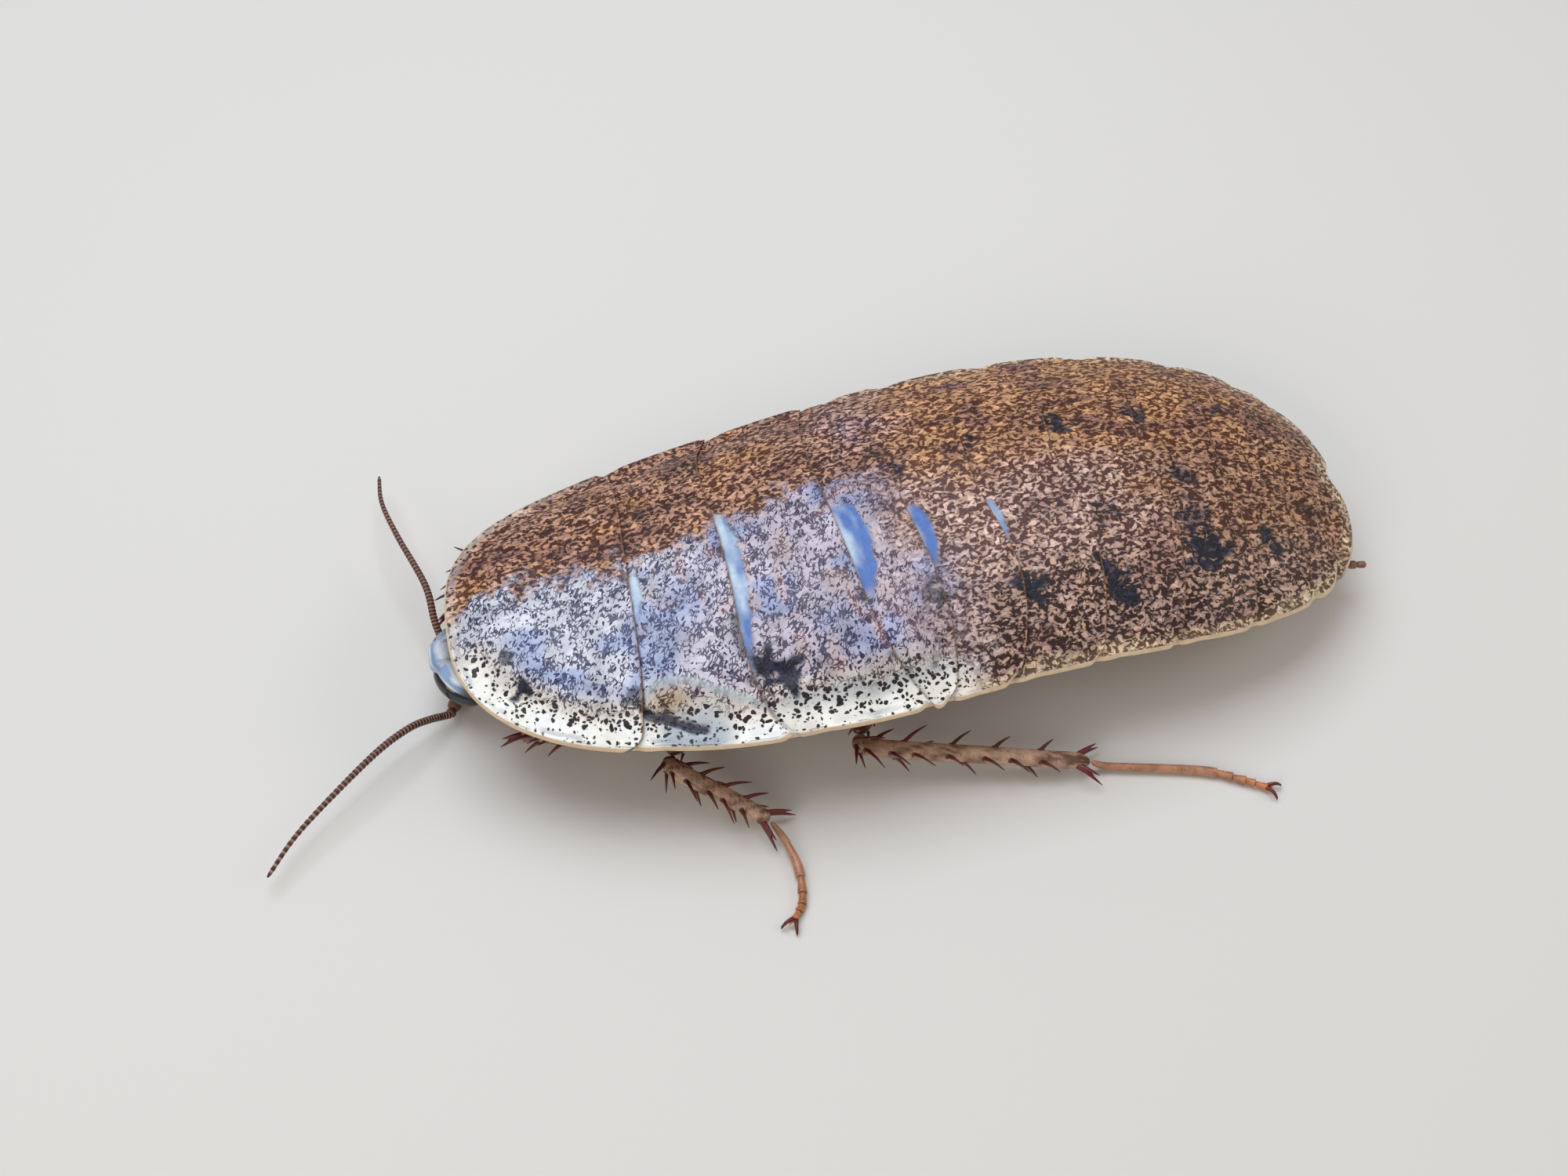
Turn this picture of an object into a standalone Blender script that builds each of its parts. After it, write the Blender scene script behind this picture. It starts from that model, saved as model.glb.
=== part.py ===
# Bark cockroach, a still life-size model: the solids.
# Run with: blender --background --python part.py
# Sizes are in millimetres in the animal's own frame and become metres in place():
# s runs backwards from the front edge of the pronotum, y to the animal's left, z up from the floor.
import bmesh
import bpy
from math import cos, pi, radians, sin, tau
from mathutils import Matrix, Vector

MM = 0.001
GAP = 0.3                 # clear space between neighbouring pieces

# Driving sizes of the body
LENGTH = 32.0             # front of the pronotum to the end of the supra-anal plate
HALF_WIDTH = 6.85         # at the widest place
WIDEST = 18.6             # how far back the widest place lies
ROUNDNESS = 2.8           # power of the superellipse that the outline follows, seen from above
DOME = 1.7                # rise of the back above its margin
HIGHEST = 19.0
ARCH_POWER = 3.0          # how level the back runs before it falls to its two ends
ARCH_ROOT = 1.6
FRONT_MARGIN = 3.4        # height of the front edge above the floor
TAIL_MARGIN = 2.5
ARCH = 1.28               # how much the margin rises between its two ends
LEAN = 0.2                # how much of that rise moves from the front half to the rear half
LIFT = 0.65               # how far the front edge is lifted, over the first LIFT_LONG
LIFT_LONG = 5.0
FLANGE = 0.5              # thickness of the plates at their margin
STEP = 0.15               # a plate's rear edge stands this much above the next plate
NOTCH = 0.03              # share of its width by which a plate is narrower in front than behind

# Each back plate: where its rear edge crosses the midline, how far its corner lies behind that,
# how sharply the edge turns to the corner, and how far the edge bows back on either side
BACK_PLATES = {
    "mesonotum": (9.5, 0.9, 8, -0.1),
    "metanotum": (13.4, 1.05, 4, 0.0),
    "tergite_1": (15.8, -0.7, 5, 0.1),
    "tergite_2": (18.4, -1.1, 5, 0.3),
    "tergite_3": (21.4, -0.8, 5, 0.3),
    "tergite_4": (24.5, -0.6, 5, 0.3),
    "tergite_5": (27.2, -0.15, 5, 0.2),
    "tergite_6": (29.2, 0.4, 4, 0.1),
    "tergite_7": (30.4, 0.3, 4, 0.1),
}
PRONOTUM_EDGE = (6.25, -0.4, 5, 0.0)
HOOD_HALF = 4.0           # half-width at which the pronotum's front arc becomes its side
TAIL_HALF = 2.6           # the same for the supra-anal plate's rear arc
TAIL_NOTCH = 0.35         # depth of the notch between its two lobes

BELLY_WIDTH = 0.78        # the belly's share of the back's width
BELLY_EDGE = 0.5
BELLY_DEPTH = 1.0
BELLY_PLATES = {
    "sternite_2": 18.2,
    "sternite_3": 20.7,
    "sternite_4": 23.0,
    "sternite_5": 25.2,
    "sternite_6": 27.2,
}
BELLY_FRONT = 15.9
BELLY_END = 31.3

# The body lies a little bent to its right at the front, and sways once more further back
SWAY_REST = -0.19
SWAY_WIDE = 0.31
SWAY_LONG = 24.0
SWAY_NECK = 9.8           # where the sway is at its furthest left, and the bend of the front begins
SWAY_FRONT = -0.08


def empty_the_scene():
    for thing in list(bpy.data.objects):
        bpy.data.objects.remove(thing, do_unlink=True)


def place(s, y, z):
    return Vector((-s * MM, y * MM, z * MM))


def mix(a, b, share):
    return a + (b - a) * share


# The body's own curves
def swell(s, middle, power, root):
    # 1 at the middle, falling to 0 at the two ends of the body
    away = (middle - s) / middle if s < middle else (s - middle) / (LENGTH - middle)
    return max(0.0, 1 - away ** power) ** (1 / root)


def half_width(s):
    return HALF_WIDTH * swell(s, WIDEST, ROUNDNESS, ROUNDNESS)


def reach_of_outline(y):
    # How far towards either end the outline has come at this distance from the midline
    return (1 - (abs(y) / HALF_WIDTH) ** ROUNDNESS) ** (1 / ROUNDNESS)


def front_of_outline(y):
    return WIDEST * (1 - reach_of_outline(y))


def rear_of_outline(y):
    return WIDEST + (LENGTH - WIDEST) * reach_of_outline(y)


def margin_height(s):
    along = s / LENGTH
    lifted = LIFT * max(0.0, 1 - s / LIFT_LONG) ** 2
    rise = ARCH * 4 * along * (1 - along) - LEAN * sin(tau * along)
    return mix(FRONT_MARGIN, TAIL_MARGIN, along) + rise + lifted


def back_height(s, y):
    across = min(1.0, abs(y) / max(half_width(s), 0.01))
    rise = DOME * swell(s, HIGHEST, ARCH_POWER, ARCH_ROOT)
    return margin_height(s) + rise * (1 - across ** 2.4) ** 1.15


def edge(spec, across):
    middle, corner, power, bow = spec
    t = abs(across)
    return middle + corner * t ** power + bow * sin(pi * t) ** 2


def behind(spec, across):
    # The front edge of the plate that follows, with more room where the edge slants at the corners
    return edge(spec, across) + GAP * (1 + 0.9 * abs(across) ** 4)


def sway(s):
    wave = SWAY_WIDE * cos(tau * (s - SWAY_NECK) / SWAY_LONG)
    return SWAY_REST + wave + SWAY_FRONT * max(0.0, 1 - s / SWAY_NECK) ** 1.5


# Making and joining meshes
def material(name, colour, roughness):
    made = bpy.data.materials.new(name)
    made.use_nodes = True
    shader = made.node_tree.nodes["Principled BSDF"]
    shader.inputs["Base Color"].default_value = (*colour, 1.0)
    shader.inputs["Roughness"].default_value = roughness
    return made


def new_object(name, bm, collection, finish=None):
    bmesh.ops.recalc_face_normals(bm, faces=bm.faces)
    if bm.calc_volume(signed=True) < 0:
        bmesh.ops.reverse_faces(bm, faces=bm.faces)
    mesh = bpy.data.meshes.new(name)
    bm.to_mesh(mesh)
    bm.free()
    if finish:
        mesh.materials.append(finish)
    made = bpy.data.objects.new(name, mesh)
    collection.objects.link(made)
    return made


def slab(name, collection, finish, across, along, top, bottom):
    # A grid shaped by top(u, v), thickened down to bottom(u, v), with u across and v backwards
    bm = bmesh.new()
    bmesh.ops.create_grid(bm, x_segments=across, y_segments=along, size=1.0)
    bmesh.ops.triangulate(bm, faces=bm.faces)
    grid = [(vert, vert.co.x, (vert.co.y + 1) / 2) for vert in bm.verts]
    copied = bmesh.ops.extrude_face_region(bm, geom=bm.faces[:], use_keep_orig=True)
    lower = [item for item in copied["geom"] if isinstance(item, bmesh.types.BMVert)]
    for vert in lower:
        u, v = vert.co.x, (vert.co.y + 1) / 2
        vert.co = place(*bottom(u, v))
    for vert, u, v in grid:
        vert.co = place(*top(u, v))
    return new_object(name, bm, collection, finish)


def ring(centre, forward, half_wide, half_high, sides):
    side = forward.cross(Vector((0, 0, 1))).normalized()
    up = side.cross(forward).normalized()
    points = []
    for i in range(sides):
        angle = tau * (i + 0.5) / sides
        points.append(centre + side * half_wide * cos(angle) + up * half_high * sin(angle))
    return points


def curve_through(points):
    # Catmull-Rom curve through the points, as a function of 0 to 1
    ends = [points[0] * 2 - points[1], *points, points[-1] * 2 - points[-2]]

    def at(share):
        position = min(share, 0.99999) * (len(points) - 1)
        i = int(position)
        f = position - i
        a, b, c, d = ends[i:i + 4]
        return 0.5 * (2 * b + (c - a) * f + (2 * a - 5 * b + 4 * c - d) * f * f
                      + (3 * b - a - 3 * c + d) * f ** 3)
    return at


def limb(name, collection, finish, points, size, rings=8, sides=8, floor=None):
    # A closed tube through the points whose half-width and half-height are size(0 to 1)
    path = curve_through([Vector(p) for p in points])
    bm = bmesh.new()
    loops = []
    for k in range(rings):
        share = (1 - cos(pi * k / (rings - 1))) / 2 if rings < 12 else k / (rings - 1)
        centre = path(share)
        ahead = path(min(1.0, share + 0.01)) - path(max(0.0, share - 0.01))
        wide, high = size(share)
        corners = ring(centre, ahead.normalized(), wide, high, sides)
        if floor is not None:
            corners = [Vector((p.x, p.y, max(p.z, floor))) for p in corners]
        loops.append([bm.verts.new(place(*p)) for p in corners])
    for before, after in zip(loops, loops[1:]):
        for i in range(sides):
            j = (i + 1) % sides
            bm.faces.new((before[i], before[j], after[j], after[i]))
    bm.faces.new(loops[0])
    bm.faces.new(loops[-1])
    bmesh.ops.triangulate(bm, faces=bm.faces)
    return new_object(name, bm, collection, finish)


def spine(collection, root, tip, radius, sides=5):
    root, tip = Vector(root), Vector(tip)
    bm = bmesh.new()
    length = (tip - root).length
    bmesh.ops.create_cone(bm, cap_ends=True, segments=sides, radius1=radius * MM,
                          radius2=0, depth=length * MM)
    turn = (place(*tip) - place(*root)).to_track_quat("Z", "Y").to_matrix().to_4x4()
    middle = (place(*root) + place(*tip)) / 2
    bmesh.ops.transform(bm, matrix=Matrix.Translation(middle) @ turn, verts=bm.verts)
    return new_object("spine", bm, collection)


def ball(name, collection, finish, centre, radii, turn=None, segments=14, rings=9):
    bm = bmesh.new()
    bmesh.ops.create_uvsphere(bm, u_segments=segments, v_segments=rings, radius=MM)
    bmesh.ops.scale(bm, vec=Vector(radii), verts=bm.verts)
    spin = (turn or Matrix.Identity(3)).to_4x4()
    bmesh.ops.transform(bm, matrix=Matrix.Translation(place(*centre)) @ spin, verts=bm.verts)
    return new_object(name, bm, collection, finish)


def largest_surface(mesh):
    bm = bmesh.new()
    bm.from_mesh(mesh)
    bmesh.ops.remove_doubles(bm, verts=bm.verts, dist=0.000002)
    left = set(bm.faces)
    shells = []
    while left:
        todo = [left.pop()]
        shell = set(todo)
        while todo:
            for side in todo.pop().edges:
                for face in side.link_faces:
                    if face in left:
                        left.discard(face)
                        shell.add(face)
                        todo.append(face)
        shells.append(shell)
    keep = max(shells, key=lambda shell: sum(face.calc_area() for face in shell))
    drop = [face for face in bm.faces if face not in keep]
    bmesh.ops.delete(bm, geom=drop, context="FACES")
    bmesh.ops.triangulate(bm, faces=bm.faces)
    bm.to_mesh(mesh)
    bm.free()


def combine(base, others, operation):
    # One Boolean on a collection of the other pieces, applied, after which they are removed
    group = bpy.data.collections.new(base.name + "_pieces")
    bpy.context.scene.collection.children.link(group)
    for piece in others:
        for owner in list(piece.users_collection):
            owner.objects.unlink(piece)
        group.objects.link(piece)
    change = base.modifiers.new("join", "BOOLEAN")
    change.operation = operation
    change.operand_type = "COLLECTION"
    change.collection = group
    change.solver = "EXACT"
    bpy.context.view_layer.update()
    graph = bpy.context.evaluated_depsgraph_get()
    result = bpy.data.meshes.new_from_object(base.evaluated_get(graph))
    base.modifiers.clear()
    base.data = result
    for piece in others:
        bpy.data.objects.remove(piece, do_unlink=True)
    bpy.data.collections.remove(group)
    largest_surface(base.data)
    return base


# The plates of the back
def back_plate(name, collection, finish, front, rear, across, along, notch):
    def spot(u, v):
        s = mix(front(u), rear(u), v)
        side = mix(front(1.0), rear(1.0), v)
        return s, u * half_width(side) * (1 - notch * (1 - v) ** 2)

    def top(u, v):
        s, y = spot(u, v)
        return s, y, back_height(s, y) + STEP * v * (1 - abs(u) ** 4)

    def bottom(u, v):
        s, y = spot(u, v)
        return s, y, margin_height(s) - FLANGE

    return slab(name, collection, finish, across, along, top, bottom)


def back(collection, finish):
    back_plate("pronotum", collection, finish,
               lambda u: front_of_outline(u * HOOD_HALF),
               lambda u: edge(PRONOTUM_EDGE, u), 22, 12, 0.0)
    before = PRONOTUM_EDGE
    for name, spec in BACK_PLATES.items():
        rows = 6 if name.endswith("notum") else 3
        back_plate(name, collection, finish,
                   lambda u, spec=before: behind(spec, u),
                   lambda u, spec=spec: edge(spec, u), 22, rows, NOTCH)
        before = spec

    def tail(u):
        notch = TAIL_NOTCH * max(0.0, 1 - (abs(u) / 0.3) ** 2)
        return rear_of_outline(u * TAIL_HALF) - notch

    back_plate("supra_anal_plate", collection, finish,
               lambda u: behind(before, u), tail, 18, 4, NOTCH)


# The underside
def belly_plate(name, collection, finish, front, rear, half_front, half_rear, along):
    def spot(u, v):
        s = mix(front(u), rear(u), v)
        return s, u * mix(half_front, half_rear, v)

    def top(u, v):
        s, y = spot(u, v)
        return s, y, margin_height(s) - FLANGE - GAP

    def bottom(u, v):
        s, y = spot(u, v)
        rise = BELLY_DEPTH * swell(s, HIGHEST, ARCH_POWER, ARCH_ROOT) * (1 - abs(u) ** 2.5)
        return s, y, margin_height(s) - FLANGE - GAP - BELLY_EDGE - rise

    return slab(name, collection, finish, 16, along, top, bottom)


def belly(collection, finish):
    def bowed(s):
        return lambda u: s - 0.5 * u * u

    front = BELLY_FRONT
    for name, rear in BELLY_PLATES.items():
        belly_plate(name, collection, finish, bowed(front), bowed(rear),
                    BELLY_WIDTH * half_width(front), BELLY_WIDTH * half_width(rear), 2)
        front = rear + GAP
    half = BELLY_WIDTH * half_width(front)
    belly_plate("subgenital_plate", collection, finish, bowed(front),
                lambda u: mix(BELLY_END, front + 1.6, abs(u) ** 2.5), half, half * 0.55, 5)


def thorax_underside(collection, finish):
    # The narrow strips of sternum between the coxae
    for name, front, rear, half in (("prosternum", 3.2, 6.6, 0.7), ("mesosternum", 6.9, 10.4, 0.8),
                                    ("metasternum", 10.7, 15.3, 0.8)):
        def top(u, v):
            s = mix(front, rear, v)
            return s, u * half, margin_height(s) - FLANGE - GAP

        def bottom(u, v):
            s = mix(front, rear, v)
            return s, u * half * 0.8, margin_height(s) - FLANGE - GAP - 0.9 - 0.2 * sin(pi * v)

        slab(name, collection, finish, 4, 6, top, bottom)


# The head hangs under the pronotum with its face turned down and its mouth pointing back
HEAD_CENTRE = Vector((0.66, 0.0, 1.53))
HEAD_TILT = radians(32)   # slope of the face below the level
HEAD_LONG = 1.7           # half-sizes: crown to mouth, side to side, face to nape
HEAD_WIDE = 1.7
HEAD_THICK = 0.82
EYE_MIDDLE = radians(55)  # where each eye lies round the head's edge, from its crown to its side
EYE_REACH = radians(42)   # half of the angle that it spans
EYE_INSET = 0.83          # its middle's distance from the head's, as a share of the head's size
EYE_OUT = 0.15
EYE_THICK = 0.35          # half-sizes: away from the head's middle, and from nape to face
EYE_TALL = 0.5
MOUTHWARD = Vector((cos(HEAD_TILT), 0, -sin(HEAD_TILT)))
FACEWARD = Vector((-sin(HEAD_TILT), 0, -cos(HEAD_TILT)))
SIDES = {"left": 1, "right": -1}


def on_head(down, side, out):
    # A point given along the face, to the left and out from the face
    return HEAD_CENTRE + MOUTHWARD * down + FACEWARD * out + Vector((0, side, 0))


def shape_head(bm):
    for vert in bm.verts:
        down, side, out = vert.co
        narrow = 1 - 0.45 * max(0.0, down) ** 1.5 + 0.1 * max(0.0, -down)
        thin = 1 - 0.3 * max(0.0, down)
        square = (abs(side) ** 0.85) * (1 if side > 0 else -1)
        spot = on_head(down * HEAD_LONG, square * HEAD_WIDE * narrow, out * HEAD_THICK * thin)
        vert.co = place(*spot)


def eye(name, collection, finish, way, grow=0.0):
    # A crescent round the edge of the head; grown, it makes its own socket
    bm = bmesh.new()
    bmesh.ops.create_uvsphere(bm, u_segments=12, v_segments=14, radius=1.0)
    for vert in bm.verts:
        across, out, along = vert.co
        angle = EYE_MIDDLE + along * (EYE_REACH + grow / HEAD_LONG)
        away = across * (EYE_THICK + grow)
        down = -cos(angle) * (HEAD_LONG * EYE_INSET + away)
        side = sin(angle) * (HEAD_WIDE * EYE_INSET + away)
        vert.co = place(*on_head(down, way * side, EYE_OUT + out * (EYE_TALL + grow)))
    return new_object(name, bm, collection, finish)


def head(collection, finish, eye_finish):
    bm = bmesh.new()
    bmesh.ops.create_uvsphere(bm, u_segments=20, v_segments=12, radius=1.0)
    shape_head(bm)
    skull = new_object("head", bm, collection, finish)
    tilt = Matrix.Rotation(-HEAD_TILT, 3, "Y")
    labrum = ball("labrum", collection, None, on_head(1.2, 0, 0.15), (0.45, 0.55, 0.32), tilt, 10, 6)
    combine(skull, [labrum], "UNION")
    sockets = []
    for name, side in SIDES.items():
        eye("eye_" + name, collection, eye_finish, side)
        sockets.append(eye("socket", collection, None, side, GAP))
    combine(skull, sockets, "DIFFERENCE")


def mouthparts(collection, finish):
    # The two jaws and the lower lip in one piece, and a palp at each side
    middle = Vector((2.75, 0, 0.62))
    lip = ball("mouthparts", collection, finish, middle, (0.28, 0.5, 0.36), None, 10, 7)
    jaws = [ball("jaw", collection, None, middle + Vector((-0.05, side * 0.42, 0.02)),
                 (0.3, 0.32, 0.3), None, 8, 6) for side in SIDES.values()]
    combine(lip, jaws, "UNION")
    for name, side in SIDES.items():
        route = [(2.45, side * 1.05, 0.6), (2.3, side * 1.4, 0.5),
                 (2.0, side * 1.65, 0.42), (1.6, side * 1.7, 0.4)]

        def size(share):
            knuckle = 0.04 * abs(sin(pi * 3 * share))
            thick = 0.2 + knuckle + 0.05 * share
            return thick, thick
        limb("palp_" + name, collection, finish, route, size, rings=11, sides=6)


# The feelers: a stout first joint, then a long whip
SCAPE_ROOT = (-0.1, 0.45, 0.45)
SCAPE_END = (-0.4, 1.1, 0.5)
FEELERS = {
    "left": [(-0.8, 0.78, 0.6), (-1.2, 1.0, 0.9), (-1.9, 1.4, 1.25), (-3.0, 2.1, 1.35),
             (-4.6, 3.3, 1.2), (-6.1, 4.5, 0.95), (-7.2, 5.7, 0.7)],
    "right": [(-0.35, -2.08, 0.75), (-0.5, -2.7, 1.4), (-0.6, -4.0, 1.9), (-1.3, -6.4, 2.0),
              (-1.7, -8.4, 1.6), (-1.7, -10.2, 1.1)],
}
FEELER_THICK = 0.25
FEELER_TIP = 0.12


def feelers(collection, finish):
    for name, side in SIDES.items():
        mirror = Vector((1, side, 1))
        root = Vector(SCAPE_ROOT) * mirror
        end = Vector(SCAPE_END) * mirror

        def stout(share):
            thick = 0.26 + 0.06 * sin(pi * share)
            return thick, thick

        def whip(share):
            thick = mix(FEELER_THICK, FEELER_TIP, share ** 2)
            return thick, thick
        limb("antenna_base_" + name, collection, finish, [root, (root + end) / 2, end], stout,
             rings=5, sides=8)
        limb("antenna_" + name, collection, finish, FEELERS[name], whip, rings=26, sides=6)


def tail_feelers(collection, finish):
    for name, side in SIDES.items():
        def size(share):
            thick = 0.32 * (1 - share) ** 0.6 + 0.1
            return thick, thick * 0.75
        route = [(30.2, side * 2.5, 1.5), (31.2, side * 2.8, 1.55), (32.1, side * 3.1, 1.7)]
        limb("cercus_" + name, collection, finish, route, size, rings=9, sides=8)


# Legs: where each joint lies, from the root of the coxa to the tip of the foot
LEGS = {
    "fore_left": {
        "coxa": [(3.9, 3.0, 2.4), (4.9, 2.4, 2.35), (5.9, 1.75, 2.35)],
        "femur": [(6.2, 1.4, 1.05), (4.9, 2.3, 1.05), (3.6, 3.1, 1.3)],
        "tibia": [(3.1, 3.1, 1.4), (2.45, 2.75, 1.25), (1.85, 2.35, 1.05)],
        "tarsus": [(1.8, 2.15, 0.4), (2.3, 2.1, 0.26), (3.1, 2.15, 0.24), (3.8, 2.2, 0.24)],
    },
    "fore_right": {
        "coxa": [(3.9, -3.0, 2.4), (4.9, -2.4, 2.35), (5.9, -1.75, 2.35)],
        "femur": [(6.2, -1.7, 1.05), (3.9, -3.6, 1.05), (1.75, -4.95, 1.3)],
        "tibia": [(1.2, -4.8, 1.4), (0.7, -4.05, 1.25), (0.3, -3.2, 1.05)],
        "tarsus": [(0.25, -2.95, 0.4), (0.75, -2.9, 0.26), (1.6, -3.1, 0.24), (2.3, -3.3, 0.24)],
    },
    "mid_left": {
        "coxa": [(7.5, 4.2, 2.6), (9.0, 3.0, 2.6), (10.5, 1.9, 2.6)],
        "femur": [(10.9, 1.6, 1.2), (8.5, 3.2, 1.25), (6.4, 4.75, 1.6)],
        "tibia": [(6.5, 5.35, 1.5), (7.8, 6.4, 1.1), (9.2, 7.5, 0.62)],
        "tarsus": [(9.55, 8.15, 0.3), (9.75, 9.2, 0.24), (9.6, 10.4, 0.24), (9.2, 11.0, 0.24)],
    },
    "mid_right": {
        "coxa": [(7.5, -4.2, 2.6), (9.0, -3.0, 2.6), (10.5, -1.9, 2.6)],
        "femur": [(10.9, -1.6, 1.2), (8.8, -3.3, 1.25), (6.9, -4.9, 1.6)],
        "tibia": [(7.15, -5.45, 1.5), (8.4, -6.2, 1.1), (9.9, -7.0, 0.62)],
        "tarsus": [(10.35, -7.35, 0.3), (11.3, -8.0, 0.24), (12.4, -8.6, 0.24), (13.0, -9.0, 0.24)],
    },
    "hind_left": {
        "coxa": [(11.2, 4.5, 2.72), (12.9, 3.3, 2.72), (14.6, 2.05, 2.72)],
        "femur": [(15.05, 1.7, 1.2), (13.9, 3.7, 1.25), (12.7, 5.6, 1.7)],
        "tibia": [(13.0, 6.2, 1.65), (16.6, 7.1, 1.15), (20.2, 7.95, 0.62)],
        "tarsus": [(20.7, 8.05, 0.3), (23.8, 8.95, 0.24), (25.0, 9.6, 0.24), (25.75, 10.1, 0.24)],
    },
    "hind_right": {
        "coxa": [(11.2, -4.5, 2.72), (12.9, -3.3, 2.72), (14.6, -2.05, 2.72)],
        "femur": [(15.05, -1.7, 1.2), (13.9, -3.6, 1.25), (12.6, -5.3, 1.7)],
        "tibia": [(12.9, -5.9, 1.65), (16.3, -6.8, 1.15), (19.8, -7.5, 0.62)],
        "tarsus": [(20.3, -7.6, 0.3), (23.3, -8.2, 0.24), (24.5, -8.6, 0.24), (25.3, -8.9, 0.24)],
    },
}
COXA_WIDTH = {"fore": 0.85, "mid": 1.0, "hind": 1.15}
COXA_HALF_HIGH = 0.5
FEMUR_HALF = (0.5, 0.38)
TIBIA_HALF = 0.29
FOOT_HALF = 0.26
SPINE_ROOT = 0.22
SPINE_LONG = {"fore": 0.85, "mid": 1.0, "hind": 1.05}
SPINES_IN_ROW = {"fore": 3, "mid": 3, "hind": 5}


def rounded(share, sharp=0.12):
    # 1 along a limb, falling to about half at its two ends
    near_end = min(share, 1 - share)
    return 0.5 + 0.5 * min(1.0, near_end / sharp) ** 0.5


def spine_sides(points, pair):
    # Both edges of a middle or hind tibia, and only the leading, outer edge of a front one
    outward = 1 if points[0][1] > 0 else -1
    return (outward,) if pair == "fore" else (1, -1)


def tibia_with_spines(name, collection, finish, points, pair):
    def size(share):
        thick = TIBIA_HALF * rounded(share, 0.06) * mix(0.95, 1.08, share)
        return thick, thick
    shin = limb(name, collection, finish, points, size, rings=7, sides=8)
    path = curve_through([Vector(p) for p in points])
    spines = []
    count = SPINES_IN_ROW[pair]
    for side in spine_sides(points, pair):
        for i in range(count):
            share = 0.15 + 0.75 * (i + (0.25 if side > 0 else 0.0)) / count
            ahead = (path(share + 0.02) - path(share - 0.02)).normalized()
            across = ahead.cross(Vector((0, 0, 1))).normalized() * side
            lean = ahead * 0.75 + across + Vector((0, 0, 0.12 if side > 0 else -0.1))
            root = path(share)
            reach = SPINE_LONG[pair] * (0.9 + 0.15 * share)
            tip = root + lean.normalized() * (reach + TIBIA_HALF)
            spines.append(spine(collection, root + lean.normalized() * 0.06, tip, SPINE_ROOT))
    last = path(0.93)
    ahead = (path(0.97) - path(0.9)).normalized()
    across = ahead.cross(Vector((0, 0, 1))).normalized()
    for side in (1, -1):
        tip = last + (ahead * 0.9 + across * side * 0.85).normalized() * SPINE_LONG[pair] * 1.15
        spines.append(spine(collection, last, tip, SPINE_ROOT))
    combine(shin, spines, "UNION")


def foot(name, collection, finish, points):
    # Five joints with a waist between each, flat along the sole, and two claws
    def size(share):
        joints = (0.0, 0.42, 0.58, 0.72, 0.84, 1.0)
        near = min(abs(share - joint) for joint in joints)
        thick = FOOT_HALF * (0.8 + 0.2 * min(1.0, near / 0.06))
        return thick, thick
    sole = limb(name, collection, finish, points, size, rings=20, sides=8, floor=0.0)
    end = Vector(points[-1])
    ahead = (end - Vector(points[-2])).normalized()
    across = ahead.cross(Vector((0, 0, 1))).normalized()
    claws = [spine(collection, end - ahead * 0.12, end + ahead * 0.5 + across * side * 0.32
                   + Vector((0, 0, -0.12)), 0.16, sides=6) for side in (1, -1)]
    combine(sole, claws, "UNION")


def legs(collection, finish):
    for name, joints in LEGS.items():
        pair = name.split("_")[0]

        def coxa(share, wide=COXA_WIDTH[pair]):
            fat = rounded(share, 0.3) ** 1.5
            return wide * fat, COXA_HALF_HIGH * rounded(share, 0.2)

        def femur(share):
            swollen = mix(0.75, 1.0, sin(pi * share)) * rounded(share, 0.1)
            return FEMUR_HALF[0] * swollen, FEMUR_HALF[1] * swollen
        limb("coxa_" + name, collection, finish, joints["coxa"], coxa, rings=7, sides=10)
        limb("femur_" + name, collection, finish, joints["femur"], femur, rings=8, sides=8)
        tibia_with_spines("tibia_" + name, collection, finish, joints["tibia"], pair)
        foot("tarsus_" + name, collection, finish, joints["tarsus"])


def lie_as_in_life(collection):
    # Bends everything but the free parts of the legs and feelers along the body's sway
    step = 0.01
    free = ("femur_", "tibia_", "tarsus_", "antenna_left", "antenna_right")
    for thing in collection.objects:
        if thing.name.startswith(free):
            continue
        for vert in thing.data.vertices:
            s, y = -vert.co.x / MM, vert.co.y / MM
            slope = (sway(s + step) - sway(s - step)) / (2 * step)
            vert.co.x = -(s - y * slope) * MM
            vert.co.y = (y + sway(s)) * MM


def centre_on_floor(collection):
    # Moves everything so that the whole box stands over the origin
    meshes = {thing.data for thing in collection.objects}
    corners = [vert.co for mesh in meshes for vert in mesh.vertices]
    low = Vector([min(corner[i] for corner in corners) for i in range(3)])
    high = Vector([max(corner[i] for corner in corners) for i in range(3)])
    shift = Matrix.Translation((-(low.x + high.x) / 2, -(low.y + high.y) / 2, -low.z))
    for mesh in meshes:
        mesh.transform(shift)


def build():
    empty_the_scene()
    animal = bpy.data.collections.new("bark_cockroach")
    bpy.context.scene.collection.children.link(animal)
    cuticle = material("dorsal_cuticle", (0.20, 0.13, 0.09), 0.5)
    belly_skin = material("ventral_cuticle", (0.22, 0.12, 0.06), 0.4)
    head_skin = material("head_cuticle", (0.16, 0.07, 0.035), 0.25)
    eye_skin = material("eye", (0.01, 0.01, 0.012), 0.15)
    feeler_skin = material("antenna", (0.12, 0.06, 0.035), 0.45)
    leg_skin = material("leg_cuticle", (0.38, 0.25, 0.16), 0.4)
    back(animal, cuticle)
    belly(animal, belly_skin)
    thorax_underside(animal, belly_skin)
    head(animal, head_skin, eye_skin)
    mouthparts(animal, head_skin)
    feelers(animal, feeler_skin)
    tail_feelers(animal, leg_skin)
    legs(animal, leg_skin)
    lie_as_in_life(animal)
    centre_on_floor(animal)


build()
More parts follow.
